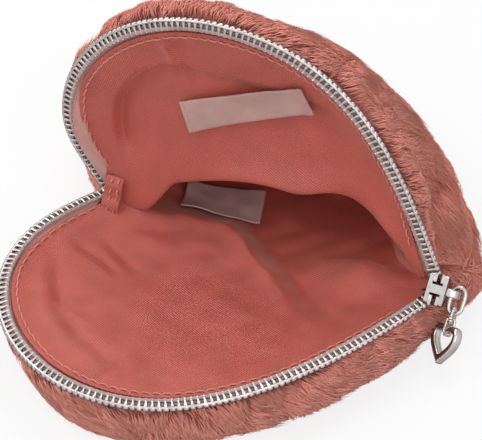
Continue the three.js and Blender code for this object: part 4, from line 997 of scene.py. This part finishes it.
class BAG_OT_back_lining(bpy.types.Operator):
    """Back lining: one sheet of twill from the zip down the flap, over its fold and back to the seam"""

    bl_idname = "bag.back_lining"
    bl_label = "Back Lining"

    def execute(self, context):
        settings = context.scene.bag_pile
        folds = settings.fold_depth / MM
        sections = flap_sections(np.linspace(share_at(2.2, False), share_at(3.5, True), 190))
        length = sections["length"][:, None]
        inset = np.minimum(lining_inset(sections["share"])[:, None], 0.6 * length)
        last = 69  # row at the fold
        parts = np.linspace(0, 1, last + 1)[None]
        out = mix(-inset, -length, parts)
        flat = sections["rim"][:, None] + sections["way"][:, None] * out[..., None]
        still = smooth(parts / 0.12) * smooth((1 - parts) / 0.06) * smooth(length / 25)
        depth = flap_folds(flat[..., 0], flat[..., 1], folds) * still
        flap = on_section(sections, out, np.clip(depth, -2.4, 3.4))
        roof_parts = np.linspace(0.02, 0.94, 44)[None]
        roof = on_roof(sections, roof_parts, 0.6 + 0 * roof_parts)
        points = np.concatenate([flap, roof], 1)
        crisp, soft = relax(points, 14), relax(points, 240)
        crisp[:, :60] = flap[:, :60]
        along = sections["along"]
        points = mix(crisp, soft, smooth((along - 0.62) / 0.25)[:, None, None])
        row = np.arange(points.shape[1]) - float(last)
        near = np.exp(-(row / np.where(row < 0, 16.0, 7.0)) ** 2)
        at_notch, at_middle = sections["lip"][:, 1] + 1.6, 5.0 * (1 - smooth((along - 0.58) / 0.22))
        droop = mix(at_notch, at_middle, smooth((along - 0.1) / 0.12)) * smooth((along + 0.06) / 0.1)
        points = points + (droop[:, None] * near)[..., None] * (-FLAP_UP - 0.2 * FLAP_OUT)
        run = np.cumsum(np.linalg.norm(np.diff(points, axis=1), axis=-1), 1)
        height = (points @ FLAP_UP)[:, :last + 1]
        beyond = height[:, -1:] + run[:, last - 1:last] - run[:, last:]
        uv = np.stack([points[..., 0], np.concatenate([height, beyond], 1)], -1)
        on_flap_side = mix(1.0, 0.56, smooth(np.linspace(0, 1, 16)))
        on_sewn_side = mix(0.54, 0.0, smooth(np.linspace(0, 1, 18)))
        weight = np.concatenate([np.ones(54), on_flap_side, on_sewn_side, np.zeros(26)])
        cloth = cloth_sheet("back_lining_cloth", points, -0.5, uv)
        bend_with_flap(cloth, np.broadcast_to(weight, points.shape[:2]))
        finish_piece(cloth, lining_cloth(settings), None, ["back_lining_flap_half", "back_lining_pouch_half"])
        return {"FINISHED"}


PANELS = ((False, "front"), (True, "back"))


def zip_frames(share, on_back):
    """Zip line on either panel: places, and the directions along it, out past it and down behind its face."""
    line = flap_edge if on_back else edge
    rim, before, after = line(share), line(share - 0.001), line(share + 0.001)
    ahead = unit(after - before)
    out = np.stack([-ahead[:, 1], ahead[:, 0]], -1)
    rise, deep = (FLAP_UP, FLAP_OUT) if on_back else (np.array([0.0, -1.0, 0.0]), -ABOVE)
    rim, ahead, out = (flat[:, :1] * OUTWARDS + flat[:, 1:] * rise for flat in (rim, ahead, out))
    return rim + ZIP_HEIGHT * ABOVE, ahead, out, np.broadcast_to(deep, rim.shape)


def tip_weight(share):
    """Weight of a zip piece on the flap: one, and easing towards the slider's own direction close to the tip."""
    return mix(0.5, 1.0, smooth((edge(share)[..., 1] - 3.5) / 6.0))


def coil_teeth(name, on_back, settings):
    """Coil: at each pitch a flat wire that runs out, round a wide head and back under, in a slightly slanting loop."""
    pitch, width = settings.tooth_pitch / MM, settings.tooth_width / MM
    count = int(EDGE_LENGTH / pitch)
    share = np.linspace(share_at(0.6, False), share_at(4.2, True), count)
    place, ahead, out, deep = zip_frames(share, on_back)
    steps, head, radius = 9, 0.45, 0.62
    bend = np.linspace(-1, 1, steps)
    in_head = np.abs(bend) < head
    turn, leg = bend / head * np.pi / 2, np.clip(np.abs(bend) / head - 1, 0, None)
    reach = 0.5 * width - radius + np.where(in_head, radius * np.cos(turn), -leg * (width - radius) / 1.25)
    level = np.where(in_head, radius * np.sin(turn), radius * np.sign(bend)) + 1.0
    centres = place[:, None]
    for amount, way in ((reach, out), (level, deep), (0.22 * bend, ahead)):
        centres = centres + amount[None, :, None] * way[:, None]
    half = np.interp(np.abs(bend), [0, 0.42, 0.55, 0.8, 1], [0.88, 0.86, 0.42, 0.34, 0.5])
    widths, heights = (np.broadcast_to(size, centres.shape[:2]) for size in (half, 0.36))
    piece = tubes(name, centres, np.broadcast_to(ahead[:, None], centres.shape), widths, heights, 7)
    if on_back:
        bend_with_flap(piece, np.repeat(tip_weight(share), steps * 7))
    return piece


def coil_band(name, on_back, settings, out_by, depth, width, height, swell):
    """Cord along a coil, out_by from the zip line and behind its face by depth, thicker by swell at each pitch."""
    count = 4 * int(EDGE_LENGTH / (settings.tooth_pitch / MM))
    share = np.linspace(share_at(0.6, False), share_at(6.5, True), count)
    place, ahead, out, deep = zip_frames(share, on_back)
    beat = swell * (0.5 + 0.5 * np.cos(np.arange(count) * np.pi / 2))
    centre = (place + out_by * out + depth * deep)[None]
    piece = tubes(name, centre, out[None], (width + beat)[None], (height + beat)[None], 6)
    if on_back:
        bend_with_flap(piece, np.repeat(tip_weight(share), 6))
    return piece


class BAG_OT_zip_coils(bpy.types.Operator):
    """Two coils of the zip with their core cords and the sewing that holds them"""

    bl_idname = "bag.zip_coils"
    bl_label = "Zip Coils"

    def execute(self, context):
        settings = context.scene.bag_zip
        colour = np.array(settings.teeth_colour)
        silver = metal_material("silvered coil", tuple(colour), tuple(0.72 * colour), 0.3, 0.8)
        cord = metal_material("coil core", (0.3, 0.235, 0.225), (0.2, 0.15, 0.145), 0.8, 0.0)
        sewing = backing_material("coil sewing", (0.4, 0.29, 0.275), (0.6, 0.47, 0.45))
        bands = (
            ("coil_core", cord, "silver", (-0.35, 0.95, 1.0, 0.4, 0.0)),
            ("coil_heads", silver, "silver", (1.2, 0.5, 0.42, 0.42, 0.05)),
            ("coil_stitching", sewing, "webbing", (-1.1, 0.34, 0.56, 0.26, 0.14)),
        )
        for on_back, word in PANELS:
            body = None if on_back else "pouch"
            teeth = coil_teeth(f"coil_teeth_{word}", on_back, settings)
            finish_piece(teeth, silver, body, [f"zip_coil_{word}"])
            for name, material, slot, sizes in bands:
                finish_piece(coil_band(f"{name}_{word}", on_back, settings, *sizes), material, body)
        return {"FINISHED"}


def below_edge(share, on_back, across, depth):
    """Points in from the zip line by across, behind the lining's face by depth."""
    if on_back:
        return on_section(flap_sections(share), -across, depth + 0 * across)
    place = edge(share)[:, None] - front_spokes(share)[1][:, None] * across[..., None]
    z = front_lining_height(place[..., 0], -place[..., 1], 0.0)
    return np.stack([place[..., 0], -place[..., 1], z - depth], -1)


class BAG_OT_zip_tapes(bpy.types.Operator):
    """Two woven tapes between the coils and the lining's edge"""

    bl_idname = "bag.zip_tapes"
    bl_label = "Zip Tapes"

    def execute(self, context):
        material = cloth_material("zip tape weave", (0.64, 0.3, 0.255), (0.78, 0.41, 0.36), 1.0, 0.9, 0.75, 0.2, 0.8)
        for on_back, word in PANELS:
            share = np.linspace(share_at(1.0, False), share_at(4.5, True), 260)
            width = np.minimum(lining_inset(share) + 1.2, 0.4 + 0.7 * edge(share)[:, 1])[:, None]
            beyond = smooth((share - 0.1) / 0.15)[:, None]
            across = mix(mix(1.45, 0.9, beyond), width, np.linspace(0, 1, 8)[None])
            points = below_edge(share, on_back, across, mix(0.25, 1.3, beyond))
            uv = np.stack([np.broadcast_to((share * EDGE_LENGTH)[:, None], across.shape), across], -1)
            tape = cloth_sheet(f"zip_tape_{word}_cloth", points, 0.4, uv)
            if on_back:
                bend_with_flap(tape, np.broadcast_to(tip_weight(share)[:, None], across.shape))
            finish_piece(tape, material, None if on_back else "pouch", [f"zip_tape_{word}"])
        return {"FINISHED"}


def stitch_row(name, centre, ahead, above, settings, weights=None):
    """Row of stitches: each a short thread that dips into the cloth at both ends and leans a little."""
    radius = settings.thread / MM / 2
    length = settings.stitch_length / MM
    bend = np.linspace(-1, 1, 6)
    side = np.cross(ahead, above)
    path = (centre[:, None] + (0.42 * length * bend)[None, :, None] * ahead[:, None]
            + (radius * (1.5 - 2.3 * bend ** 4))[None, :, None] * above[:, None]
            + (0.16 * bend)[None, :, None] * side[:, None])
    wide, high = (np.full(path.shape[:2], size) for size in (radius, 0.8 * radius))
    piece = tubes(name, path, np.broadcast_to(side[:, None], path.shape), wide, high)
    if weights is not None:
        bend_with_flap(piece, np.repeat(weights, len(piece.data.vertices) // len(weights)))
    return piece


def lining_line(share, on_back, beyond, folds):
    """Line on a panel's lining, further in than its edge by beyond: places and the face's direction."""
    inset = lining_inset(share) + beyond
    if on_back:
        sections = flap_sections(share)
        inset = np.minimum(inset, 0.72 * sections["length"])
        flat = sections["rim"] - sections["way"] * inset[:, None]
        part = (inset - lining_inset(share)) / (sections["length"] - lining_inset(share))
        depth = flap_folds(flat[:, 0], flat[:, 1], folds) * smooth(part / 0.12) * smooth(sections["length"] / 25)
        place = on_section(sections, -inset[:, None], np.clip(depth, -2.4, 3.4)[:, None])[:, 0]
        return place, np.broadcast_to(-FLAP_OUT, place.shape)
    axis, way, length = front_spokes(share)
    reach = length - np.minimum(inset, 0.72 * length)
    place = axis + way * reach[:, None]
    z = front_lining_height(place[:, 0], -place[:, 1], folds)
    place = np.stack([place[:, 0], -place[:, 1], z], -1)
    return place, np.broadcast_to(ABOVE, place.shape)


class BAG_OT_topstitch(bpy.types.Operator):
    """Topstitching along the lining's edges"""

    bl_idname = "bag.topstitch"
    bl_label = "Topstitching"

    def execute(self, context):
        settings = context.scene.bag_zip
        folds = context.scene.bag_pile.fold_depth / MM
        count = int(EDGE_LENGTH * 0.86 / (settings.stitch_length / MM))
        share = np.linspace(share_at(12.5, False), share_at(16.0, True), count)
        for on_back, word in PANELS:
            place, above = lining_line(share, on_back, 1.7, folds)
            row = stitch_row(f"stitches_{word}", place, unit(np.gradient(place, axis=0)), above, settings)
            finish_piece(row, sewing_thread(), "flap" if on_back else "pouch", [f"topstitch_{word}"])
        return {"FINISHED"}


def tab_rows(turns, across, lift):
    """Tab bent about the axis between the panels: turns from the front panel to the flap, across along the axis, and
    drawn in towards the axis between its ends."""
    radius = 6.0 - 3.4 * np.sin((turns + 0.42) / 2.1 * np.pi) + lift
    x = NOTCH_X + across
    return np.stack([x + 0 * turns, -np.cos(turns) * radius, ZIP_HEIGHT + np.sin(turns) * radius], -1)


def tab_weight(turns):
    """Weight of the tab on the flap."""
    return smooth((turns + 0.3) / 1.8)


class BAG_OT_end_tab(bpy.types.Operator):
    """Tab of twill over the zip's end at the notch, with its two rows of stitches"""

    bl_idname = "bag.end_tab"
    bl_label = "End Tab"

    def execute(self, context):
        settings = context.scene.bag_zip
        turns = np.linspace(math.radians(-24), math.radians(96), 40)[:, None]
        across = np.linspace(0.4, 5.6, 16)[None]
        lift = 0.3 * np.sin((across - 0.4) / 5.2 * np.pi) + 0.12 * ripple(across, turns * 6, 4, 61)
        points = tab_rows(turns, across, lift)
        tab = cloth_sheet("end_tab_cloth", points, 0.5, np.stack([points[..., 0], turns * 5 + 0 * across], -1))
        bend_with_flap(tab, tab_weight(turns) + 0 * across)
        finish_piece(tab, lining_cloth(context.scene.bag_pile), None, ["notch_end_tab"])
        for number, line in ((1, 2.4), (2, 4.4)):
            at = np.linspace(math.radians(-18), math.radians(90), 5)
            centre = tab_rows(at, np.full(5, line), 0.25)
            above = np.stack([0 * at, -np.cos(at), np.sin(at)], -1)
            ahead = np.stack([0 * at, np.sin(at), np.cos(at)], -1)
            row = stitch_row(f"tab_stitches_{number}", centre, ahead, above, settings, tab_weight(at))
            finish_piece(row, sewing_thread(), None)
        return {"FINISHED"}


def flap_depth_at(x, rise):
    """Depth of the flap's lining behind its zip line at places on the flap, from the nearest straight section."""
    sections = flap_sections(np.linspace(FLAP_START, FLAP_END, 400))
    gap = np.stack([x, rise], -1)[..., None, :] - sections["lip"]
    miss = np.abs(gap[..., 0] * sections["way"][:, 1] - gap[..., 1] * sections["way"][:, 0])
    best = np.argmin(miss, -1)
    gap = np.take_along_axis(gap, best[..., None, None], -2)[..., 0, :]
    part = np.sum(gap * sections["way"][best], -1) / sections["length"][best]
    return dish(sections["swell"][best], part)


def turned_patch(long, wide, counts, turn, middle):
    """Grid on a rectangle turned about its middle: distances along and across it, and places on the cloth."""
    long, wide = np.linspace(-long / 2, long / 2, counts[0]), np.linspace(-wide / 2, wide / 2, counts[1])
    along, across = np.meshgrid(long, wide, indexing="ij")
    one = middle[0] + along * math.cos(turn) - across * math.sin(turn)
    two = middle[1] + along * math.sin(turn) + across * math.cos(turn)
    return along, across, one, two


class BAG_OT_labels(bpy.types.Operator):
    """Bare ribbon label on the flap's lining and bare care label inside the pouch"""

    bl_idname = "bag.labels"
    bl_label = "Labels"

    def execute(self, context):
        settings = context.scene.bag_zip
        folds = context.scene.bag_pile.fold_depth / MM
        pale, paler = (0.54, 0.31, 0.28), (0.65, 0.4, 0.365)
        satin = cloth_material("label satin", pale, paler, 0.5, 0.0, 0.6, 0.2, 0.5, (1, 0.9, 0.88))
        along, across, x, rise = turned_patch(RIBBON_LONG, RIBBON_WIDE, (60, 16), math.radians(24.6), (-11, 39))
        bow = np.cos(along / (RIBBON_LONG / 2) * np.pi / 2) ** 0.8
        lift = 0.6 + 1.5 * bow * (0.55 + 0.45 * across / (RIBBON_WIDE / 2)) + 0.12 * ripple(along, across, 9, 71)
        lift = lift + 0.45 * smooth((np.abs(along) - 16.2) / 0.5)
        bed = flap_depth_at(x, rise) + np.minimum(flap_folds(x, rise, folds), 0.3)
        points = on_flap(x, rise, bed - lift)
        label = cloth_sheet("ribbon_label", points, -0.45, np.stack([along, across], -1))
        finish_piece(label, satin, "flap", ["woven_label"])
        for number, end in ((1, 2), (2, 57)):
            centre = points[end, [2, 6, 9, 13]]
            ahead = np.broadcast_to(unit(centre[-1] - centre[0]), centre.shape)
            above = np.broadcast_to(-FLAP_OUT, centre.shape)
            row = stitch_row(f"label_stitches_{number}", centre, ahead, above, settings)
            finish_piece(row, sewing_thread(), "flap")

        along, across, x, y = turned_patch(CARE_LONG, CARE_WIDE, (48, 26), math.radians(12), (-20, 14.5))
        wave = 0.9 * np.abs(np.sin((along - 1.5 + 0.3 * across) / 7.5)) + 0.35 * ripple(along, across, 8, 72)
        z = front_lining_height(x, y, folds) + 1.3 + wave
        care = cloth_sheet("care_label_cloth", np.stack([x, y, z], -1), 0.35, np.stack([along, across], -1))
        finish_piece(care, satin, "pouch", ["care_label"])
        return {"FINISHED"}


def bevelled_copy(node, name, width):
    """Copy of a CAD node with its flat faces joined and its edges rounded off."""
    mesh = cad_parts[node].data.copy()
    work = bmesh.new()
    work.from_mesh(mesh)
    bmesh.ops.remove_doubles(work, verts=work.verts, dist=1e-6)
    bmesh.ops.dissolve_limit(work, angle_limit=math.radians(2), verts=work.verts, edges=work.edges)
    sharp = [e for e in work.edges if e.is_manifold and e.calc_face_angle(0) > math.radians(35)]
    bmesh.ops.bevel(work, geom=sharp, offset=width, segments=2, profile=0.6, affect="EDGES", clamp_overlap=True)
    bmesh.ops.recalc_face_normals(work, faces=work.faces)
    for face in work.faces:
        face.smooth = True
    work.to_mesh(mesh)
    work.free()
    mesh.name = name
    piece = bpy.data.objects.new(name, mesh)
    bpy.context.scene.collection.objects.link(piece)
    return piece


def from_slider(points):
    """Slider directions (outwards, forwards, down) to the part's frame."""
    return SLIDER_AT + points[..., :1] * OUTWARDS + points[..., 1:2] * FORWARDS + points[..., 2:] * DOWN


def oval_path(width, wire, top, foot):
    """Long loop in the link's plane between two places down the chain: half circles joined by straight sides."""
    wide = (width - wire) / 2
    long = (foot - top) / 2 - wide

    def place(turn):
        down = (top + foot) / 2 + wide * np.sin(turn) + long * np.tanh(4 * np.sin(turn))
        return from_slider(np.stack([CHAIN_OUT + wide * np.cos(turn), 0 * turn, down], -1))

    return place


def pendant_half(grow):
    """Right half of the pendant's heart from its notch to its tip, across by down, as three Bezier curves."""
    wide, lobe, tip = 5.75 + grow, -PENDANT_LOBE - grow, 8.8 + 1.5 * grow
    curves = [
        [[0, -0.6 * grow], [0.12 * wide, 0.75 * lobe], [0.35 * wide, lobe], [0.55 * wide, lobe]],
        [[0.55 * wide, lobe], [0.85 * wide, lobe], [wide, 0.4 * lobe], [wide, 0.12 * tip]],
        [[wide, 0.12 * tip], [wide, 0.45 * tip], [0.4 * wide, 0.75 * tip], [0, tip]],
    ]
    t = np.linspace(0, 1, 17)[:-1, None]
    return np.concatenate([bezier(np.array(curve, float), t) for curve in curves] + [[[0, tip]]])


def pendant_heart(name, top):
    """Open heart: a rounded oblong carried between the heart's inner and outer outlines."""
    outer, inner = pendant_half(0.0), pendant_half(-PENDANT_WALL)
    both = [np.concatenate([half, half[-2:0:-1] * [-1, 1]]) for half in (outer, inner)]
    turn = np.linspace(0, 2 * np.pi, 16, endpoint=False)
    across = 0.5 + 0.5 * np.sign(np.cos(turn)) * np.abs(np.cos(turn)) ** 0.5
    through = 1.3 * np.sign(np.sin(turn)) * np.abs(np.sin(turn)) ** 0.5
    flat = both[1][:, None] + (both[0] - both[1])[:, None] * across[None, :, None]
    points = np.stack([
        CHAIN_OUT + flat[..., 0] * math.cos(PENDANT_TURN) + through[None] * math.sin(PENDANT_TURN),
        flat[..., 0] * math.sin(PENDANT_TURN) - through[None] * math.cos(PENDANT_TURN),
        top + flat[..., 1],
    ], -1)
    return put_mesh(name, from_slider(points).reshape(-1, 3), grid_faces(len(flat), 16, True, True))


class BAG_OT_slider_and_chain(bpy.types.Operator):
    """Slider with its crown and stop, pull link, ridged ring and open heart pendant"""

    bl_idname = "bag.slider_and_chain"
    bl_label = "Slider and Chain"

    def execute(self, context):
        settings = context.scene.bag_zip
        colour = np.array(settings.metal_colour)
        nickel = metal_material("polished nickel", tuple(colour), tuple(0.86 * colour), 0.16, 1.0)
        copies = (
            ("slider_body", "slider_plates", 0.00028, "slider", "nickel"),
            ("slider_crown", "slider_bridge", 0.0003, "slider", "nickel"),
            ("tip_stop", "tip_stop_clip", 0.0003, "pouch", "silver"),
        )
        for node, name, width, body, slot in copies:
            finish_piece(bevelled_copy(node, name, width), nickel, body, [node])

        link_top = -STRAP_HALF - LINK_DROP - LINK_WIRE / 2
        link_foot = link_top + LINK_LONG - LINK_WIRE
        room = RIDGE + CHAIN_PLAY
        ring_down = link_foot - (LINK_WIRE + RING_WIRE) / 2 - room + RING_RADIUS
        ring_foot = ring_down + RING_RADIUS
        eye_top = ring_foot - (RING_WIRE + EYELET_WIRE) / 2 - room
        top = ring_foot + RING_WIRE / 2 + room + PENDANT_LOBE

        def ring_place(turn):
            down = ring_down + RING_RADIUS * np.sin(turn)
            return from_slider(np.stack([0 * turn + CHAIN_OUT, RING_RADIUS * np.cos(turn), down], -1))

        steps, ring_steps = settings.wire_steps, 8 * RING_RIDGES
        ridges = RING_WIRE / 2 + RIDGE * np.cos(np.arange(ring_steps) / ring_steps * RING_RIDGES * 2 * np.pi)
        link_path = oval_path(LINK_WIDE, LINK_WIRE, link_top, link_foot)
        eye_path = oval_path(EYELET_WIDE, EYELET_WIRE, eye_top, top + 0.4)
        link = wire_loop("pull_link_wire", link_path, FORWARDS, LINK_WIRE / 2, steps)
        finish_piece(link, nickel, "pull_link", ["pull_link"])
        ring = wire_loop("ridged_ring_wire", ring_place, OUTWARDS, ridges, ring_steps)
        finish_piece(ring, nickel, "ridged_ring", ["ridged_ring"])
        heart = pendant_heart("heart_pendant_frame", top)
        finish_piece(heart, nickel, "heart_pendant", ["heart_pendant"])
        eye = wire_loop("pendant_eyelet", eye_path, FORWARDS, EYELET_WIRE / 2, steps)
        finish_piece(eye, nickel, "heart_pendant")
        return {"FINISHED"}


def seen_directly(tree):
    """One for camera, glossy and transmission rays, and zero for the rays that light the bag."""
    path = tree.nodes.new("ShaderNodeLightPath").outputs
    mirrored = math_node(tree, "MAXIMUM", path["Is Glossy Ray"], path["Is Transmission Ray"])
    return math_node(tree, "MAXIMUM", path["Is Camera Ray"], mirrored)


class BAG_OT_stage(bpy.types.Operator):
    """Camera at the photograph's angle, pale floor and soft light"""

    bl_idname = "bag.stage"
    bl_label = "Stage"

    def execute(self, context):
        settings = context.scene.bag_stage
        scene = context.scene
        scene.view_settings.view_transform = "Standard"
        a, e = settings.azimuth, settings.elevation
        back = Vector((math.sin(a) * math.cos(e), -math.cos(a) * math.cos(e), math.sin(e)))
        camera = bpy.data.objects.new("camera", bpy.data.cameras.new("camera"))
        scene.collection.objects.link(camera)
        camera.location = Vector((0.0011, 0, 0.0155)) + settings.distance * back
        camera.rotation_euler = (-back).to_track_quat("-Z", "Y").to_euler()
        camera.data.sensor_width = 36.0
        camera.data.lens = REACH / PICTURE_WIDE * camera.data.sensor_width
        camera.data.shift_x = (MIDDLE_X - LOOK_X) / PICTURE_WIDE
        camera.data.shift_y = (LOOK_Y - MIDDLE_Y) / PICTURE_WIDE
        camera.data.clip_start, camera.data.clip_end = 0.01, 20
        scene.camera = camera

        corners = 3000 * np.array([[-1.0, -1.0, 0.0], [1.0, -1.0, 0.0], [1.0, 1.0, 0.0], [-1.0, 1.0, 0.0]])
        floor = put_mesh("floor", corners, np.array([[0, 1, 2, 3]]))
        material, tree, shader = start_material("pale floor")
        set_inputs(shader, Base_Color=(0.9, 0.9, 0.9), Roughness=0.9)
        white = new_node(tree, "ShaderNodeEmission", Strength=1.0)
        both = tree.nodes.new("ShaderNodeMixShader")
        shown = math_node(tree, "MULTIPLY", seen_directly(tree), 0.82)
        feed(tree, zip(both.inputs, (shown, shader.outputs[0], white.outputs[0])))
        tree.links.new(both.outputs[0], tree.nodes["Material Output"].inputs["Surface"])
        floor.data.materials.append(material)

        world = bpy.data.worlds.new("surround")
        scene.world = world
        world.use_nodes = True
        tree = world.node_tree
        shade = tree.nodes["Background"]
        level = scaled(tree, seen_directly(tree), 1 - settings.surround, settings.surround)
        tree.links.new(level, shade.inputs["Strength"])
        set_inputs(shade, Color=(1, 1, 1))

        for name, place, size, power in (
            ("key_light", (-0.44, -0.03, 0.5), 0.4, settings.key_power),
            ("back_light", (-0.08, 0.75, 0.95), 0.6, settings.back_power),
            ("fill_light", (0.6, -0.55, 0.75), 0.9, settings.fill_power),
        ):
            light = bpy.data.objects.new(name, bpy.data.lights.new(name, "AREA"))
            scene.collection.objects.link(light)
            light.data.shape = "DISK"
            light.data.size = size
            light.data.energy = power
            light.location = place
            light.rotation_euler = (Vector((0, 0, 0.03)) - Vector(place)).to_track_quat("-Z", "Y").to_euler()
        return {"FINISHED"}


class BAG_PT_panel(bpy.types.Panel):
    """Sizes and colours of the bag, and its pieces"""

    bl_idname = "BAG_PT_panel"
    bl_label = "Plush Bag"
    bl_space_type = "VIEW_3D"
    bl_region_type = "UI"
    bl_category = "Plush Bag"

    def draw(self, context):
        for group in (context.scene.bag_pile, context.scene.bag_zip, context.scene.bag_stage):
            column = self.layout.column()
            for name in group.__annotations__:
                column.prop(group, name)
        for operator in OPERATORS:
            self.layout.operator(operator.bl_idname)


OPERATORS = (
    BAG_OT_stage, BAG_OT_front_plush, BAG_OT_back_plush, BAG_OT_front_lining, BAG_OT_back_lining, BAG_OT_zip_tapes,
    BAG_OT_zip_coils, BAG_OT_topstitch, BAG_OT_end_tab, BAG_OT_labels, BAG_OT_slider_and_chain,
)
SETTINGS = {"bag_pile": PileSettings, "bag_zip": ZipSettings, "bag_stage": StageSettings}


def register():
    for kind in (*SETTINGS.values(), *OPERATORS, BAG_PT_panel):
        bpy.utils.register_class(kind)
    for name, kind in SETTINGS.items():
        setattr(bpy.types.Scene, name, PointerProperty(type=kind))


def unregister():
    for name in SETTINGS:
        delattr(bpy.types.Scene, name)
    for kind in reversed((*SETTINGS.values(), *OPERATORS, BAG_PT_panel)):
        bpy.utils.unregister_class(kind)


def main():
    """Builds every piece in order."""
    register()
    for operator in OPERATORS:
        group, name = operator.bl_idname.split(".")
        getattr(getattr(bpy.ops, group), name)()


if __name__ == "__main__":
    main()
